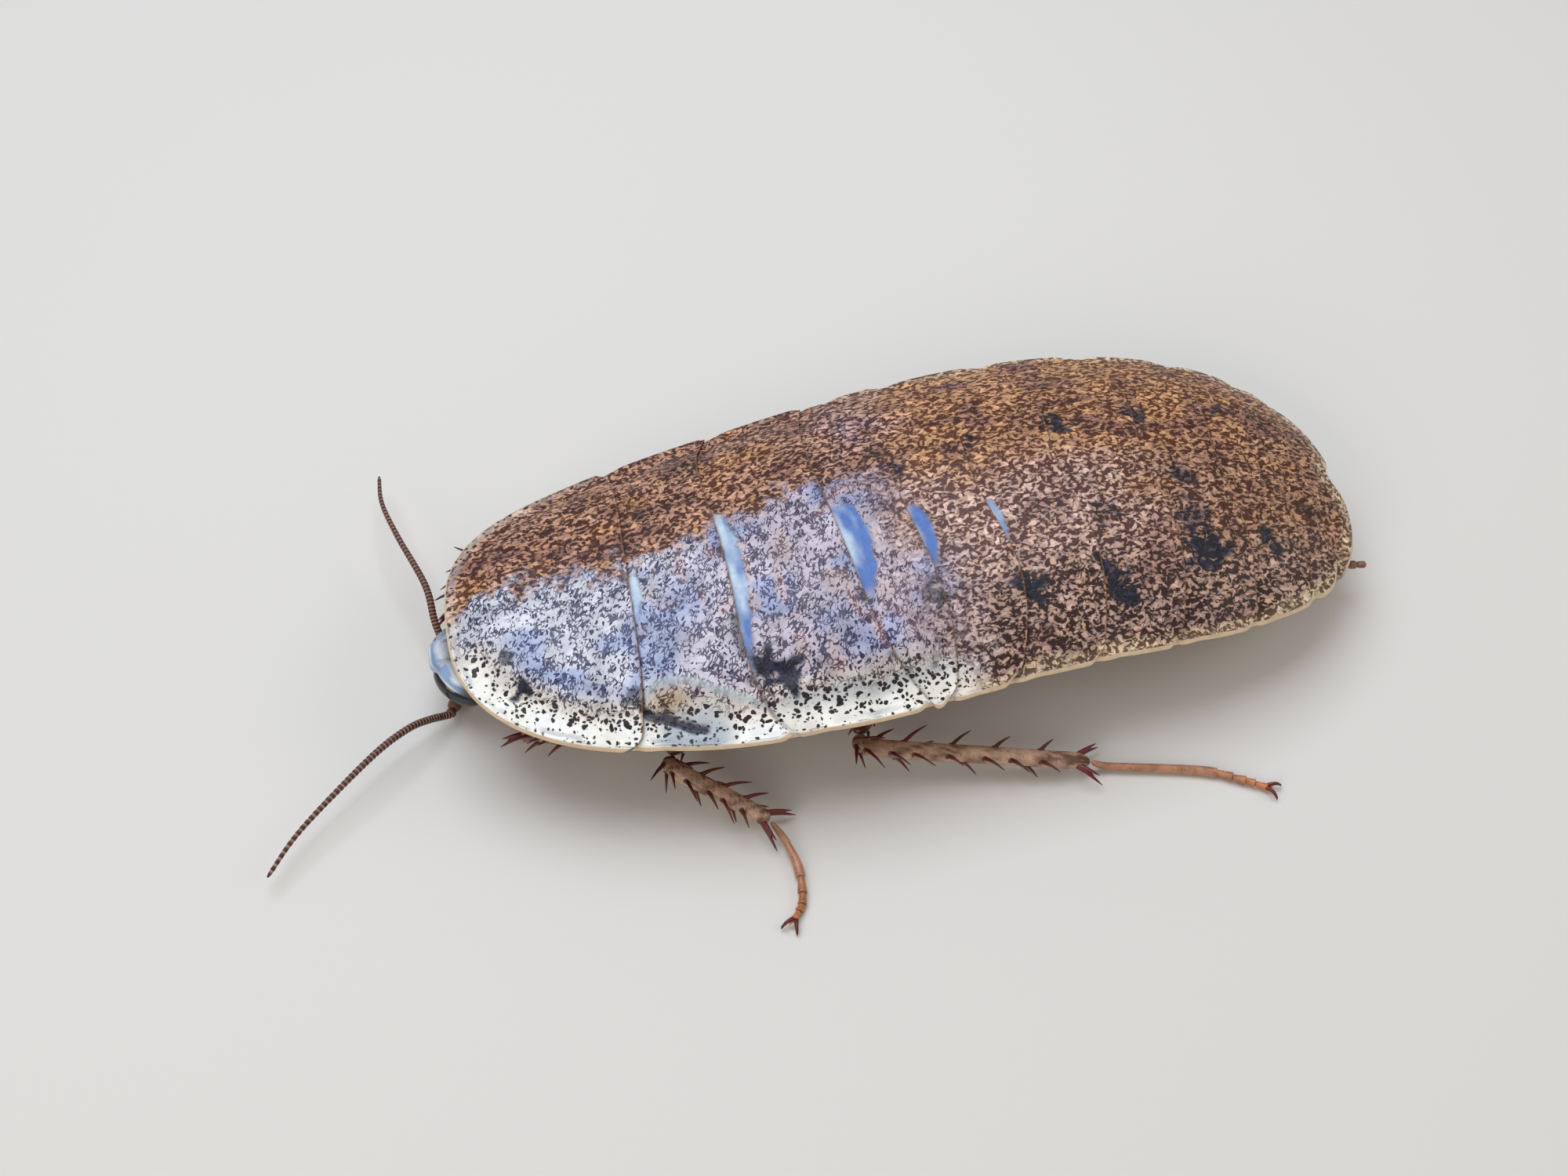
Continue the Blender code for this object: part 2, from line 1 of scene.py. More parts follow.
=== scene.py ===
# Bark cockroach, a still life-size model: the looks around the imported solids.
# Unless a name says otherwise, lengths are in millimetres in the animal's own frame, as in the solids'
# source: s runs backwards from the front edge of the pronotum, y to the animal's left, z up.
from functools import partial
import bmesh
import bpy
import numpy as np
from mathutils import Matrix, Vector


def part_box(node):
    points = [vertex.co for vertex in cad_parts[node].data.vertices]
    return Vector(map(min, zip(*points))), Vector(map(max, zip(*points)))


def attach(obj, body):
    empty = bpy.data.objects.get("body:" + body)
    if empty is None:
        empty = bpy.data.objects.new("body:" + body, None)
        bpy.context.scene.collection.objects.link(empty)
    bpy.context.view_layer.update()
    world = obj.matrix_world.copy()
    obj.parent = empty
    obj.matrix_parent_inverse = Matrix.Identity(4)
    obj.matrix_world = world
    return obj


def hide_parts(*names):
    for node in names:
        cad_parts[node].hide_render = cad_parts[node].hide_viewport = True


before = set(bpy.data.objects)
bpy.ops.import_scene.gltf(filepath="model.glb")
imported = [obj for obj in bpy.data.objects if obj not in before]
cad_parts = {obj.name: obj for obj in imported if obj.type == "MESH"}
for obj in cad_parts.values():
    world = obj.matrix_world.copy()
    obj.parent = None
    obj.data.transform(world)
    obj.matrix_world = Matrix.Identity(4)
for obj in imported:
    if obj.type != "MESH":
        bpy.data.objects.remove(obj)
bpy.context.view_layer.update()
SCENE = bpy.context.scene
MM = 0.001

# The body's named sizes, as the solids have them
LENGTH = 32.0
HALF_WIDTH = 6.85
WIDEST = 18.6
ROUNDNESS = 2.8
DOME = 1.7
HIGHEST = 19.0
ARCH_POWER = 3.0
ARCH_ROOT = 1.6
FRONT_MARGIN = 3.4
TAIL_MARGIN = 2.5
ARCH = 1.28
LEAN = 0.2
LIFT = 0.65
LIFT_LONG = 5.0
FLANGE = 0.5
GAP = 0.3
STEP = 0.15
# Rear edge of each back plate: its place on the midline, how far its corner lies behind that, how
# sharply it turns to the corner, and how far it bows back on either side
PLATES = {
    "pronotum": (6.25, -0.4, 5, 0.0),
    "mesonotum": (9.5, 0.9, 8, -0.1),
    "metanotum": (13.4, 1.05, 4, 0.0),
    "tergite_1": (15.8, -0.7, 5, 0.1),
    "tergite_2": (18.4, -1.1, 5, 0.3),
    "tergite_3": (21.4, -0.8, 5, 0.3),
    "tergite_4": (24.5, -0.6, 5, 0.3),
    "tergite_5": (27.2, -0.15, 5, 0.2),
    "tergite_6": (29.2, 0.4, 4, 0.1),
    "tergite_7": (30.4, 0.3, 4, 0.1),
}
HOOD_HALF = 4.0
TAIL_HALF = 2.6
TAIL_NOTCH = 0.35
SWAY_REST = -0.19
SWAY_WIDE = 0.31
SWAY_LONG = 24.0
SWAY_NECK = 9.8
SWAY_FRONT = -0.08

# Sizes of the finer shapes
WEAVE = 0.075             # spacing of the points on the back plates
SHELL = 0.24              # thickness of a back plate
OVERLAP = 0.45            # how far a plate reaches under the one before it
DIVE = 0.26               # how far its margin dips to get there
CORNER = 0.6              # radius of a plate's rear corner
FAR_SHARE = 0.5           # share of the dip and nick on the far side, whose margin is smoother
NICK = 0.14               # how far in a plate starts beside the corner of the one before it
BEAD = SHELL / 2          # radius of a plate's rolled margin
REAR_BEAD = 0.04          # how far the rear edge is rounded
NO_PLATE = 1e6            # how far in front of the pronotum a plate before it would end


def mix(a, b, share):
    return a + (b - a) * share


def ease(value, low, high):
    share = np.clip((value - low) / (high - low), 0, 1)
    return share * share * (3 - 2 * share)


def hump(value, middle, width):
    return np.exp(-((value - middle) / width) ** 2)


def paint(tone, colour, share):
    # A tone covered with a colour where the share is 1
    return mix(tone, colour, share[..., None])


def srgb(red, green, blue):
    share = np.array([red, green, blue]) / 255
    return np.where(share <= 0.04045, share / 12.92, ((share + 0.055) / 1.055) ** 2.4)


def clouds(a, b, size, seed):
    # Smooth noise from 0 to 1 over a plane, with features of the given size
    a, b = np.asarray(a, float) / size, np.asarray(b, float) / size
    i, j = np.floor(a).astype(np.int64), np.floor(b).astype(np.int64)
    f, g = ease(a - i, 0, 1), ease(b - j, 0, 1)

    def corner(p, q):
        n = (p * 374761393 + q * 668265263 + seed * 974634777) & 0xFFFFFFFF
        n = ((n ^ (n >> 13)) * 1274126177) & 0xFFFFFFFF
        return ((n ^ (n >> 16)) & 0xFFFFFF) / 0xFFFFFF
    front = mix(corner(i, j), corner(i + 1, j), f)
    back = mix(corner(i, j + 1), corner(i + 1, j + 1), f)
    return mix(front, back, g)


# The body's curves
def swell(s, middle, power, root):
    s = np.asarray(s, float)
    away = np.where(s < middle, (middle - s) / middle, (s - middle) / (LENGTH - middle))
    return np.clip(1 - away ** power, 0, 1) ** (1 / root)


def half_width(s):
    return HALF_WIDTH * swell(s, WIDEST, ROUNDNESS, ROUNDNESS)


def reach_of_outline(y):
    return np.clip(1 - (np.abs(y) / HALF_WIDTH) ** ROUNDNESS, 0, 1) ** (1 / ROUNDNESS)


def front_of_outline(y):
    return WIDEST * (1 - reach_of_outline(y))


def rear_of_outline(y):
    return WIDEST + (LENGTH - WIDEST) * reach_of_outline(y)


def margin_height(s):
    along = s / LENGTH
    lifted = LIFT * np.clip(1 - s / LIFT_LONG, 0, None) ** 2
    rise = ARCH * 4 * along * (1 - along) - LEAN * np.sin(2 * np.pi * along)
    return mix(FRONT_MARGIN, TAIL_MARGIN, along) + rise + lifted


def back_height(s, y):
    across = np.minimum(1, np.abs(y) / np.maximum(half_width(s), 0.01))
    rise = DOME * swell(s, HIGHEST, ARCH_POWER, ARCH_ROOT)
    return margin_height(s) + rise * (1 - across ** 2.4) ** 1.15


def edge(spec, across):
    middle, corner, power, bow = spec
    t = np.abs(across)
    return middle + corner * t ** power + bow * np.sin(np.pi * t) ** 2


def sway(s):
    wave = SWAY_WIDE * np.cos(2 * np.pi * (s - SWAY_NECK) / SWAY_LONG)
    return SWAY_REST + wave + SWAY_FRONT * np.clip(1 - s / SWAY_NECK, 0, None) ** 1.5


def bent(points):
    # From the animal's straight frame to the frame it lies in, with x forwards
    points = np.asarray(points, float)
    s, y, z = points[..., 0], points[..., 1], points[..., 2]
    slope = (sway(s + 0.01) - sway(s - 0.01)) / 0.02
    return np.stack([y * slope - s, y + sway(s), z], -1)


def unbent(points):
    return np.asarray(points, float) * (-1, 1, 1)


def distance_to_outline(s, y):
    # About how far inside the outline a point lies
    across = np.abs(y) / HALF_WIDTH
    span = np.where(s < WIDEST, WIDEST, LENGTH - WIDEST)
    along = np.abs(s - WIDEST) / span
    inside = 1 - across ** ROUNDNESS - along ** ROUNDNESS
    slope = ROUNDNESS * np.hypot(across ** (ROUNDNESS - 1) / HALF_WIDTH,
                                 along ** (ROUNDNESS - 1) / span)
    return np.clip(inside / np.maximum(slope, 0.05), 0, 9)


def find_shift():
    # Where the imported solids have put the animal's frame, read off the pronotum's box
    u, v = np.meshgrid(np.linspace(-1, 1, 23), np.linspace(0, 1, 13))
    spec = PLATES["pronotum"]
    s = mix(front_of_outline(u * HOOD_HALF), edge(spec, u), v)
    side = mix(front_of_outline(HOOD_HALF), edge(spec, 1.0), v)
    places = bent(np.stack([s, u * half_width(side), margin_height(s) - FLANGE], -1)).reshape(-1, 3)
    low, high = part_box("pronotum")
    return np.array([high.x / MM - places[:, 0].max(), high.y / MM - places[:, 1].max(),
                     low.z / MM - places[:, 2].min()])


SHIFT = find_shift()


# Meshes
class Build:
    # Gathers points, faces and colours, and makes one mesh object of them
    def __init__(self):
        self.points = []
        self.faces = []
        self.tones = []
        self.count = 0

    def add(self, points, faces, tone):
        points = np.asarray(points, float).reshape(-1, 3)
        self.points.append(points)
        self.faces.extend([[i + self.count for i in face] for face in faces])
        self.tones.append(np.broadcast_to(np.asarray(tone, float), (len(points), 3)))
        self.count += len(points)

    def finish(self, name, material, slot, nodes, lay=bent):
        points = (lay(np.concatenate(self.points)) + SHIFT) * MM
        colours = {"tone": np.concatenate(self.tones)}
        new_object(name, points, self.faces, material, nodes, colours, mixed=True)


def new_object(name, points, faces, material, nodes, colours, mixed=False):
    # A mesh object with colours at its points. mixed says that its faces differ in size and may need
    # turning outwards.
    mesh = bpy.data.meshes.new(name)
    sizes = np.array([len(face) for face in faces])
    corners = np.concatenate([np.asarray(face) for face in faces]) if mixed else faces.ravel()
    mesh.vertices.add(len(points))
    mesh.vertices.foreach_set("co", np.asarray(points, np.float32).ravel())
    mesh.loops.add(len(corners))
    mesh.loops.foreach_set("vertex_index", corners.astype(np.int32))
    mesh.polygons.add(len(sizes))
    starts = np.concatenate([[0], np.cumsum(sizes)[:-1]])
    mesh.polygons.foreach_set("loop_start", starts.astype(np.int32))
    mesh.update(calc_edges=True)
    mesh.validate()
    if mixed:
        bm = bmesh.new()
        bm.from_mesh(mesh)
        bmesh.ops.recalc_face_normals(bm, faces=bm.faces)
        if bm.calc_volume(signed=True) < 0:
            bmesh.ops.reverse_faces(bm, faces=bm.faces)
        bm.to_mesh(mesh)
        bm.free()
    mesh.polygons.foreach_set("use_smooth", np.ones(len(mesh.polygons), bool))
    for key, values in colours.items():
        if key == "skin":
            layer = mesh.attributes.new(key, "FLOAT_VECTOR", "POINT")
            layer.data.foreach_set("vector", np.asarray(values, np.float32).ravel())
        else:
            layer = mesh.attributes.new(key, "FLOAT_COLOR", "POINT")
            full = np.ones((len(points), 4), np.float32)
            full[:, :3] = values
            layer.data.foreach_set("color", full.ravel())
    mesh.materials.append(material)
    made = bpy.data.objects.new(name, mesh)
    SCENE.collection.objects.link(made)
    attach(made, "root")
    if nodes:
        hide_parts(*nodes)


def shell_faces(rows, columns):
    # Faces of a grid's upper and lower copy, and of the strips that close its four sides
    index = np.arange(rows * columns).reshape(rows, columns)
    upper = np.stack([index[:-1, :-1], index[:-1, 1:], index[1:, 1:], index[1:, :-1]], -1)
    upper = upper.reshape(-1, 4)
    rim = np.concatenate([index[0, :], index[1:, -1], index[-1, -2::-1], index[-2::-1, 0]])
    lower = rim + index.size
    sides = np.stack([rim[:-1], lower[:-1], lower[1:], rim[1:]], -1)
    return np.concatenate([upper, upper[:, ::-1] + index.size, sides])


def spline(points, shares):
    # Catmull-Rom curve through the points
    points = np.asarray(points, float)
    ends = np.concatenate([[2 * points[0] - points[1]], points, [2 * points[-1] - points[-2]]])
    place = np.clip(np.asarray(shares, float), 0, 0.99999) * (len(points) - 1)
    i = place.astype(int)
    f = (place - i)[..., None]
    a, b, c, d = ends[i], ends[i + 1], ends[i + 2], ends[i + 3]
    return 0.5 * (2 * b + (c - a) * f + (2 * a - 5 * b + 4 * c - d) * f ** 2
                  + (3 * b - a - 3 * c + d) * f ** 3)


def unit(vectors):
    vectors = np.asarray(vectors, float)
    return vectors / np.maximum(np.linalg.norm(vectors, axis=-1, keepdims=True), 1e-9)


def frames(points):
    # Ahead, sideways and upwards at each point of a path
    ahead = unit(np.gradient(points, axis=0))
    side = unit(np.cross(ahead, (0, 0, 1)))
    return ahead, side, np.cross(side, ahead)


def ring_faces(rings, sides):
    i, j = np.meshgrid(np.arange(rings - 1), np.arange(sides), indexing="ij")
    a, b = i * sides + j, i * sides + (j + 1) % sides
    return np.stack([a, b, b + sides, a + sides], -1).reshape(-1, 4).tolist()


def tube(route, size, rings=24, sides=16, box=1.0, smooth=True):
    # A closed limb along the route with half-sizes size(share) to the side and upwards. box below 1
    # squares its section. Returns points and faces, the two poles last.
    if smooth:
        shares = (1 - np.cos(np.pi * np.linspace(0, 1, rings))) / 2
    else:
        shares = np.linspace(0, 1, rings)
    centre = spline(route, shares)
    _, side, up = frames(centre)
    wide, high = size(shares)
    angle = 2 * np.pi * np.arange(sides) / sides
    a = np.sign(np.cos(angle)) * np.abs(np.cos(angle)) ** box
    b = np.sign(np.sin(angle)) * np.abs(np.sin(angle)) ** box
    wide, high = np.broadcast_to(wide, rings), np.broadcast_to(high, rings)
    points = (centre[:, None] + side[:, None] * (wide[:, None] * a)[..., None]
              + up[:, None] * (high[:, None] * b)[..., None])
    points = points.reshape(-1, 3)
    faces = ring_faces(rings, sides)
    last = rings * sides
    for k in range(sides):
        faces.append([(k + 1) % sides, k, last])
        faces.append([last - sides + k, last - sides + (k + 1) % sides, last + 1])
    return np.concatenate([points, centre[:1], centre[-1:]]), faces


def blunt(shares, sharp):
    # 1 along a limb, rounding off to 0 at both of its ends
    return np.sqrt(np.clip(1 - np.abs(2 * shares - 1) ** sharp, 0.0004, 1))


def thorn(root, tip, radius, sag=0.1, sides=8, rings=7):
    # A curved tapering spine
    root, tip = np.asarray(root, float), np.asarray(tip, float)
    length = np.linalg.norm(tip - root)
    middle = (root + tip) / 2 + np.array([0, 0, sag * length])

    def size(share):
        thick = radius * (1 - share) ** 0.75 + 0.012
        return thick, thick
    return tube([root, middle, tip], size, rings, sides, smooth=False)


# Colours
CREAM = srgb(238, 230, 210)
AMBER = srgb(168, 112, 76)
UMBER = srgb(132, 92, 70)
RIM = srgb(226, 200, 168)
BRINK = srgb(160, 112, 84)
# Painted reflection of the sky on the smooth strips: its pale and its blue
STRIP_REFLECTION_PALE = srgb(206, 226, 244)
STRIP_REFLECTION_BLUE = srgb(74, 116, 192)
INK = srgb(30, 28, 36)
NAVY = srgb(46, 46, 76)
SLATE = srgb(120, 130, 150)
GOLD = srgb(198, 164, 112)
GOLD_DARK = srgb(70, 46, 40)
# Painted highlight along the mesonotum's wing ridge
RIDGE_HIGHLIGHT = srgb(182, 196, 202)
UNDER_BACK = srgb(96, 64, 46)
WARM = srgb(232, 180, 132)
FLECK = srgb(52, 28, 18)
EYE_DARK = srgb(14, 13, 18)
EYE_LIGHT = srgb(40, 38, 52)


# Materials
class Recipe:
    # A material and short names for the nodes it is made of
    def __init__(self, name):
        self.made = bpy.data.materials.new(name)
        self.made.use_nodes = True
        self.tree = self.made.node_tree
        self.shader = self.tree.nodes["Principled BSDF"]

    def node(self, kind, inputs=(), **settings):
        made = self.tree.nodes.new("ShaderNode" + kind)
        for key, value in settings.items():
            setattr(made, key, value)
        for key, value in dict(inputs).items():
            self.feed(made.inputs[key], value)
        return made

    def feed(self, socket, value):
        if isinstance(value, bpy.types.NodeSocket):
            self.tree.links.new(value, socket)
        else:
            socket.default_value = value

    def maths(self, operation, a, b=0.0, c=0.0):
        return self.node("Math", {0: a, 1: b, 2: c}, operation=operation).outputs[0]

    def ease(self, value, low, high, start=0.0, end=1.0):
        inputs = {"Value": value, "From Min": low, "From Max": high, "To Min": start, "To Max": end}
        return self.node("MapRange", inputs, interpolation_type="SMOOTHSTEP").outputs["Result"]

    def blend(self, share, a, b, how="MIX"):
        made = self.node("Mix", data_type="RGBA", blend_type=how)
        self.feed(made.inputs["Factor"], share)
        for i, value in ((6, a), (7, b)):
            linked = isinstance(value, bpy.types.NodeSocket)
            self.feed(made.inputs[i], value if linked else (*value, 1.0))
        return made.outputs[2]

    def attribute(self, name, output="Color"):
        return self.node("Attribute", attribute_name=name).outputs[output]

    def split(self, colour):
        return self.node("SeparateColor", {"Color": colour}).outputs

    def vector(self, operation, a, b):
        return self.node("VectorMath", {0: a, 1: b}, operation=operation).outputs[0]

    def noise(self, place, scale, detail=2.0, output="Fac", rough=0.5):
        inputs = {"Vector": place, "Scale": scale, "Detail": detail, "Roughness": rough}
        return self.node("TexNoise", inputs).outputs[output]

    def grey(self, value):
        return self.node("CombineColor", {"Red": value, "Green": value, "Blue": value}).outputs[0]

    def millimetres(self):
        place = self.node("TexCoord").outputs["Object"]
        return self.vector("MULTIPLY", place, (1 / MM, 1 / MM, 1 / MM))

    def cells(self, place, scale, feature="F1"):
        return self.node("TexVoronoi", {"Vector": place, "Scale": scale}, feature=feature).outputs

    def bump(self, height, strength, distance):
        inputs = {"Height": height, "Strength": strength, "Distance": distance * MM}
        return self.node("Bump", inputs).outputs["Normal"]

    def finish(self, colour, roughness, normal=None, **settings):
        self.feed(self.shader.inputs["Base Color"], colour)
        self.feed(self.shader.inputs["Roughness"], roughness)
        if normal is not None:
            self.feed(self.shader.inputs["Normal"], normal)
        for key, value in settings.items():
            self.shader.inputs[key.replace("_", " ")].default_value = value
        return self.made


def back_material():
    # Cuticle speckled in three ways, by the point's veil: dots on the pale border (red), short strokes
    # on the thorax (green) and worn granules (blue). Where the veil is black it is smooth.
    r = Recipe("back_cuticle")
    skin = r.attribute("skin", "Vector")
    tone, under = r.attribute("tone"), r.attribute("under")
    dots, dashes, granules = r.split(r.attribute("veil"))
    wander = r.vector("SUBTRACT", r.noise(skin, 2.6, 2.0, "Color"), (0.5, 0.5, 0.5))
    place = r.vector("MULTIPLY_ADD", wander, (0.35, 0.35, 0.0))
    r.feed(place.node.inputs[2], skin)

    def speckle(where, scale, low, most):
        # Round dots: some cells hold one, and its size differs from cell to cell
        cell = r.cells(where, scale)
        size = r.ease(r.split(cell["Color"])[0], low, 1.0, 0.0, most)
        return r.ease(r.maths("SUBTRACT", cell["Distance"], size), -0.06, 0.04, 1.0, 0.0)

    def worms(where, scale, low, high, detail=0.6):
        return r.ease(r.noise(where, scale, detail, rough=0.6), low, high, 1.0, 0.0)

    dot = r.maths("MAXIMUM", speckle(place, 4.6, -1.6, r.ease(dots, 0.2, 1.0, 0.30, 0.43)),
                  speckle(place, 7.4, 0.0, r.ease(dots, 0.2, 1.0, 0.24, 0.42)))

    turned = r.node("VectorRotate", {"Vector": place, "Angle": -0.45}, rotation_type="Z_AXIS")
    lean = r.vector("MULTIPLY", turned.outputs[0], (1.6, 0.9, 1.0))
    wall = r.cells(lean, 5.6, "DISTANCE_TO_EDGE")["Distance"]
    broken = r.ease(r.noise(place, 3.1, 1.0), 0.40, 0.66, -0.02, 0.15)
    net = r.ease(r.maths("SUBTRACT", wall, broken), -0.03, 0.03, 1.0, 0.0)
    stroke = r.maths("MAXIMUM", r.maths("MULTIPLY", net, 0.9), worms(lean, 6.4, 0.34, 0.39))
    stroke = r.maths("MAXIMUM", stroke, speckle(lean, 5.4, 0.2, 0.36))
    dash = r.maths("MAXIMUM", stroke, worms(lean, 1.8, 0.42, 0.62, 1.0))
    dash = r.maths("MULTIPLY_ADD", stroke, 0.86, r.maths("MULTIPLY", dash, 0.14))

    long = r.vector("MULTIPLY", place, (0.8, 1.15, 1.0))
    grain = r.cells(long, 5.2)
    gap = r.cells(long, 5.2, "DISTANCE_TO_EDGE")["Distance"]
    luck = r.split(grain["Color"])
    core = r.maths("MULTIPLY", r.ease(gap, 0.05, 0.2), r.ease(luck[2], 0.4, 0.75))
    granule = r.maths("MULTIPLY_ADD", core, -0.75, worms(long, 6.2, 0.43, 0.60, 1.0))
    granule = r.maths("ADD", granule, r.ease(r.noise(place, 15.0, 2.0), 0.3, 0.7, 0.42, 0.0))

    dark = r.maths("MULTIPLY", dot, r.ease(dots, 0.02, 0.2))
    dark = r.maths("MULTIPLY_ADD", dash, dashes, dark)
    dark = r.maths("MULTIPLY_ADD", granule, granules, dark)
    dark = r.maths("MINIMUM", r.maths("MAXIMUM", dark, 0.0), 1.0)

    jitter = r.ease(luck[0], 0.0, 1.0, 0.85, 1.25)
    light = r.blend(1.0, tone, r.grey(jitter), "MULTIPLY")
    warm = r.blend(r.ease(luck[1], 0.7, 1.0, 0.0, 0.45), light, WARM)
    colour = r.blend(dark, r.blend(granules, r.blend(0.3, tone, light), warm), under)

    raised = r.maths("MULTIPLY_ADD", granules, 0.6, 0.4)
    height = r.maths("MULTIPLY", r.maths("SUBTRACT", 1.0, dark), raised)
    height = r.maths("MULTIPLY_ADD", r.noise(skin, 14.0, 2.0), 0.3, height)
    rough = r.maths("MULTIPLY_ADD", granules, 0.10, 0.30)
    rough = r.maths("MULTIPLY_ADD", r.noise(skin, 9.0, 2.0), 0.16, rough)
    return r.finish(colour, rough, r.bump(height, 0.85, 0.04), Coat_Weight=0.08, Coat_Roughness=0.25,
                    Specular_IOR_Level=0.36)


def limb_material(name, wave, speckle, roughness, depth, coat):
    # Colour from the mesh, clouded and finely speckled, over fine wrinkles
    r = Recipe(name)
    place = r.millimetres()
    cloud = r.noise(place, wave, 3.0)
    shade = r.ease(cloud, 0.3, 0.7, 0.72, 1.18)
    colour = r.blend(1.0, r.attribute("tone"), r.grey(shade), "MULTIPLY")
    fleck = r.ease(r.cells(place, 8.0)["Distance"], 0.12, 0.3, speckle, 0.0)
    colour = r.blend(fleck, colour, FLECK)
    height = r.maths("MULTIPLY_ADD", r.noise(place, 11.0, 3.0), 0.8, cloud)
    rough = r.ease(r.noise(place, 5.0, 2.0), 0.3, 0.7, roughness - 0.06, roughness + 0.1)
    return r.finish(colour, rough, r.bump(height, 0.5, depth), Coat_Weight=coat, Coat_Roughness=0.12)


def eye_material():
    r = Recipe("compound_eye")
    place = r.millimetres()
    facet = r.cells(place, 22.0)["Distance"]
    colour = r.blend(r.noise(place, 1.5, 2.0), EYE_DARK, EYE_LIGHT)
    rough = r.ease(facet, 0.1, 0.6, 0.10, 0.22)
    normal = r.bump(r.maths("SUBTRACT", 1.0, facet), 0.25, 0.008)
    return r.finish(colour, rough, normal, Coat_Weight=0.6, Coat_Roughness=0.06)


BACK = back_material()
BELLY = limb_material("belly_cuticle", 1.4, 0.25, 0.34, 0.03, 0.2)
HEAD = limb_material("head_capsule", 1.1, 0.0, 0.20, 0.012, 0.5)
LEG = limb_material("leg_skin", 2.4, 0.55, 0.36, 0.025, 0.15)
FEELER = limb_material("feeler_skin", 5.0, 0.1, 0.45, 0.01, 0.0)
EYE = eye_material()

# The light and dark tones of the back's zones
ZONES = {name: np.array([srgb(*light), srgb(*dark)]) for name, light, dark in (
    ("white", (250, 248, 240), (30, 24, 26)),
    ("sand", (222, 208, 190), (66, 44, 40)),
    ("pale_reflection", (238, 242, 254), (44, 46, 92)),
    ("lilac_reflection", (220, 208, 226), (52, 42, 78)),
    ("blue_reflection", (150, 174, 228), (40, 48, 106)),
    ("rose", (224, 200, 200), (112, 62, 76)),
    ("rust", (208, 158, 132), (68, 32, 24)),
    ("pink", (222, 188, 176), (86, 50, 46)),
    ("amber", (216, 162, 112), (92, 46, 22)),
    ("umber", (184, 140, 112), (66, 36, 22)),
    ("maroon", (188, 154, 140), (42, 16, 12)),
    ("slate", (158, 170, 182), (34, 32, 42)),
    ("plum", (150, 104, 96), (52, 24, 24)),
    ("edge", (226, 204, 172), (104, 72, 52)))}

# Features of the back, at their places in the photo's view: dark spots as s, y, radius and depth
SPOTS = [
    (15.6, 3.7, 0.42, 0.55), (18.8, 4.1, 0.5, 0.85), (21.85, 4.4, 0.6, 1.0), (25.6, 3.6, 0.6, 0.9),
    (28.1, 3.2, 0.5, 0.7), (16.1, -1.7, 0.3, 0.75), (18.9, -1.9, 0.4, 0.8), (21.9, -2.1, 0.42, 0.8),
    (24.8, -2.25, 0.42, 0.7), (28.0, -2.57, 0.4, 0.5), (2.35, 3.15, 0.42, 0.95), (6.9, -2.6, 0.4, 0.5),
    (10.5, 4.6, 0.42, 0.95), (9.9, 4.3, 0.4, 0.85), (30.2, 1.9, 0.3, 0.4), (2.0, 2.15, 0.3, 0.6),
    (5.95, 4.3, 0.3, 0.5), (22.3, 1.9, 0.5, 0.5), (25.5, 0.6, 0.45, 0.6), (25.4, 2.4, 0.5, 0.5),
    (11.6, 4.6, 0.3, 0.1),
]
DIPS = SPOTS[10:13]        # the spots that are hollows too
# Where the painted reflection of the sky on the thorax ends towards the far side, as s and y
FAR_LINE = [(0, 0.0), (2, -0.5), (5, -0.45), (6.2, -0.7), (8, -0.95), (10, -1.45), (12, -1.8),
            (14, -1.7), (16, -1.4), (18, -1.1)]
CREASE = [(6.16, 4.69), (6.74, 5.07), (7.34, 5.46), (7.82, 5.66)]
WING_RIDGE = [(6.3, 4.25), (6.58, 4.0), (7.13, 4.02), (7.56, 4.14), (7.94, 4.35), (8.76, 4.9),
              (9.6, 5.45)]
# The smooth strips behind the plates before, painted pale to blue as a reflection of the sky: from and
# to y, how wide and how blue
STRIPS = {"mesonotum": (-0.2, 2.0, 0.36, 0.0), "metanotum": (-2.2, 4.7, 0.55, 0.35),
          "tergite_1": (-1.0, 3.3, 0.95, 1.0), "tergite_2": (-0.1, 2.8, 0.55, 0.9),
          "tergite_3": (0.5, 2.5, 0.3, 0.6)}


def off_line(s, y, line):
    # Distance to a line of points
    nearest = np.full(np.shape(s), 99.0)
    for (s0, y0), (s1, y1) in zip(line, line[1:]):
        ds, dy = s1 - s0, y1 - y0
        share = np.clip(((s - s0) * ds + (y - y0) * dy) / (ds * ds + dy * dy), 0, 1)
        nearest = np.minimum(nearest, np.hypot(s - s0 - share * ds, y - y0 - share * dy))
    return nearest


def relief(s, y, rim):
    # The back's finer ups and downs
    up = 0.030 * (clouds(s, y, 0.9, 1) - 0.5) + 0.020 * (clouds(s, y, 0.32, 2) - 0.5)
    up = up + 0.012 * (clouds(s, y, 0.16, 3) - 0.5)
    up = up * ease(rim, 0.05, 0.4)
    thorax = ease(s, 14.5, 12.5)
    up = up + 0.035 * hump(rim, 0.07, 0.06) * mix(0.5, 1, thorax)
    up = up - 0.10 * hump(rim, 0.75, 0.45) * thorax
    for s0, y0, radius, depth in DIPS:
        up = up - 0.10 * depth * hump(np.hypot(s - s0, y - y0), 0, radius)
    up = up + 0.07 * hump(off_line(s, np.abs(y), WING_RIDGE), 0, 0.16)
    up = up - 0.10 * hump(off_line(s, np.abs(y), CREASE), 0, 0.11)
    return up


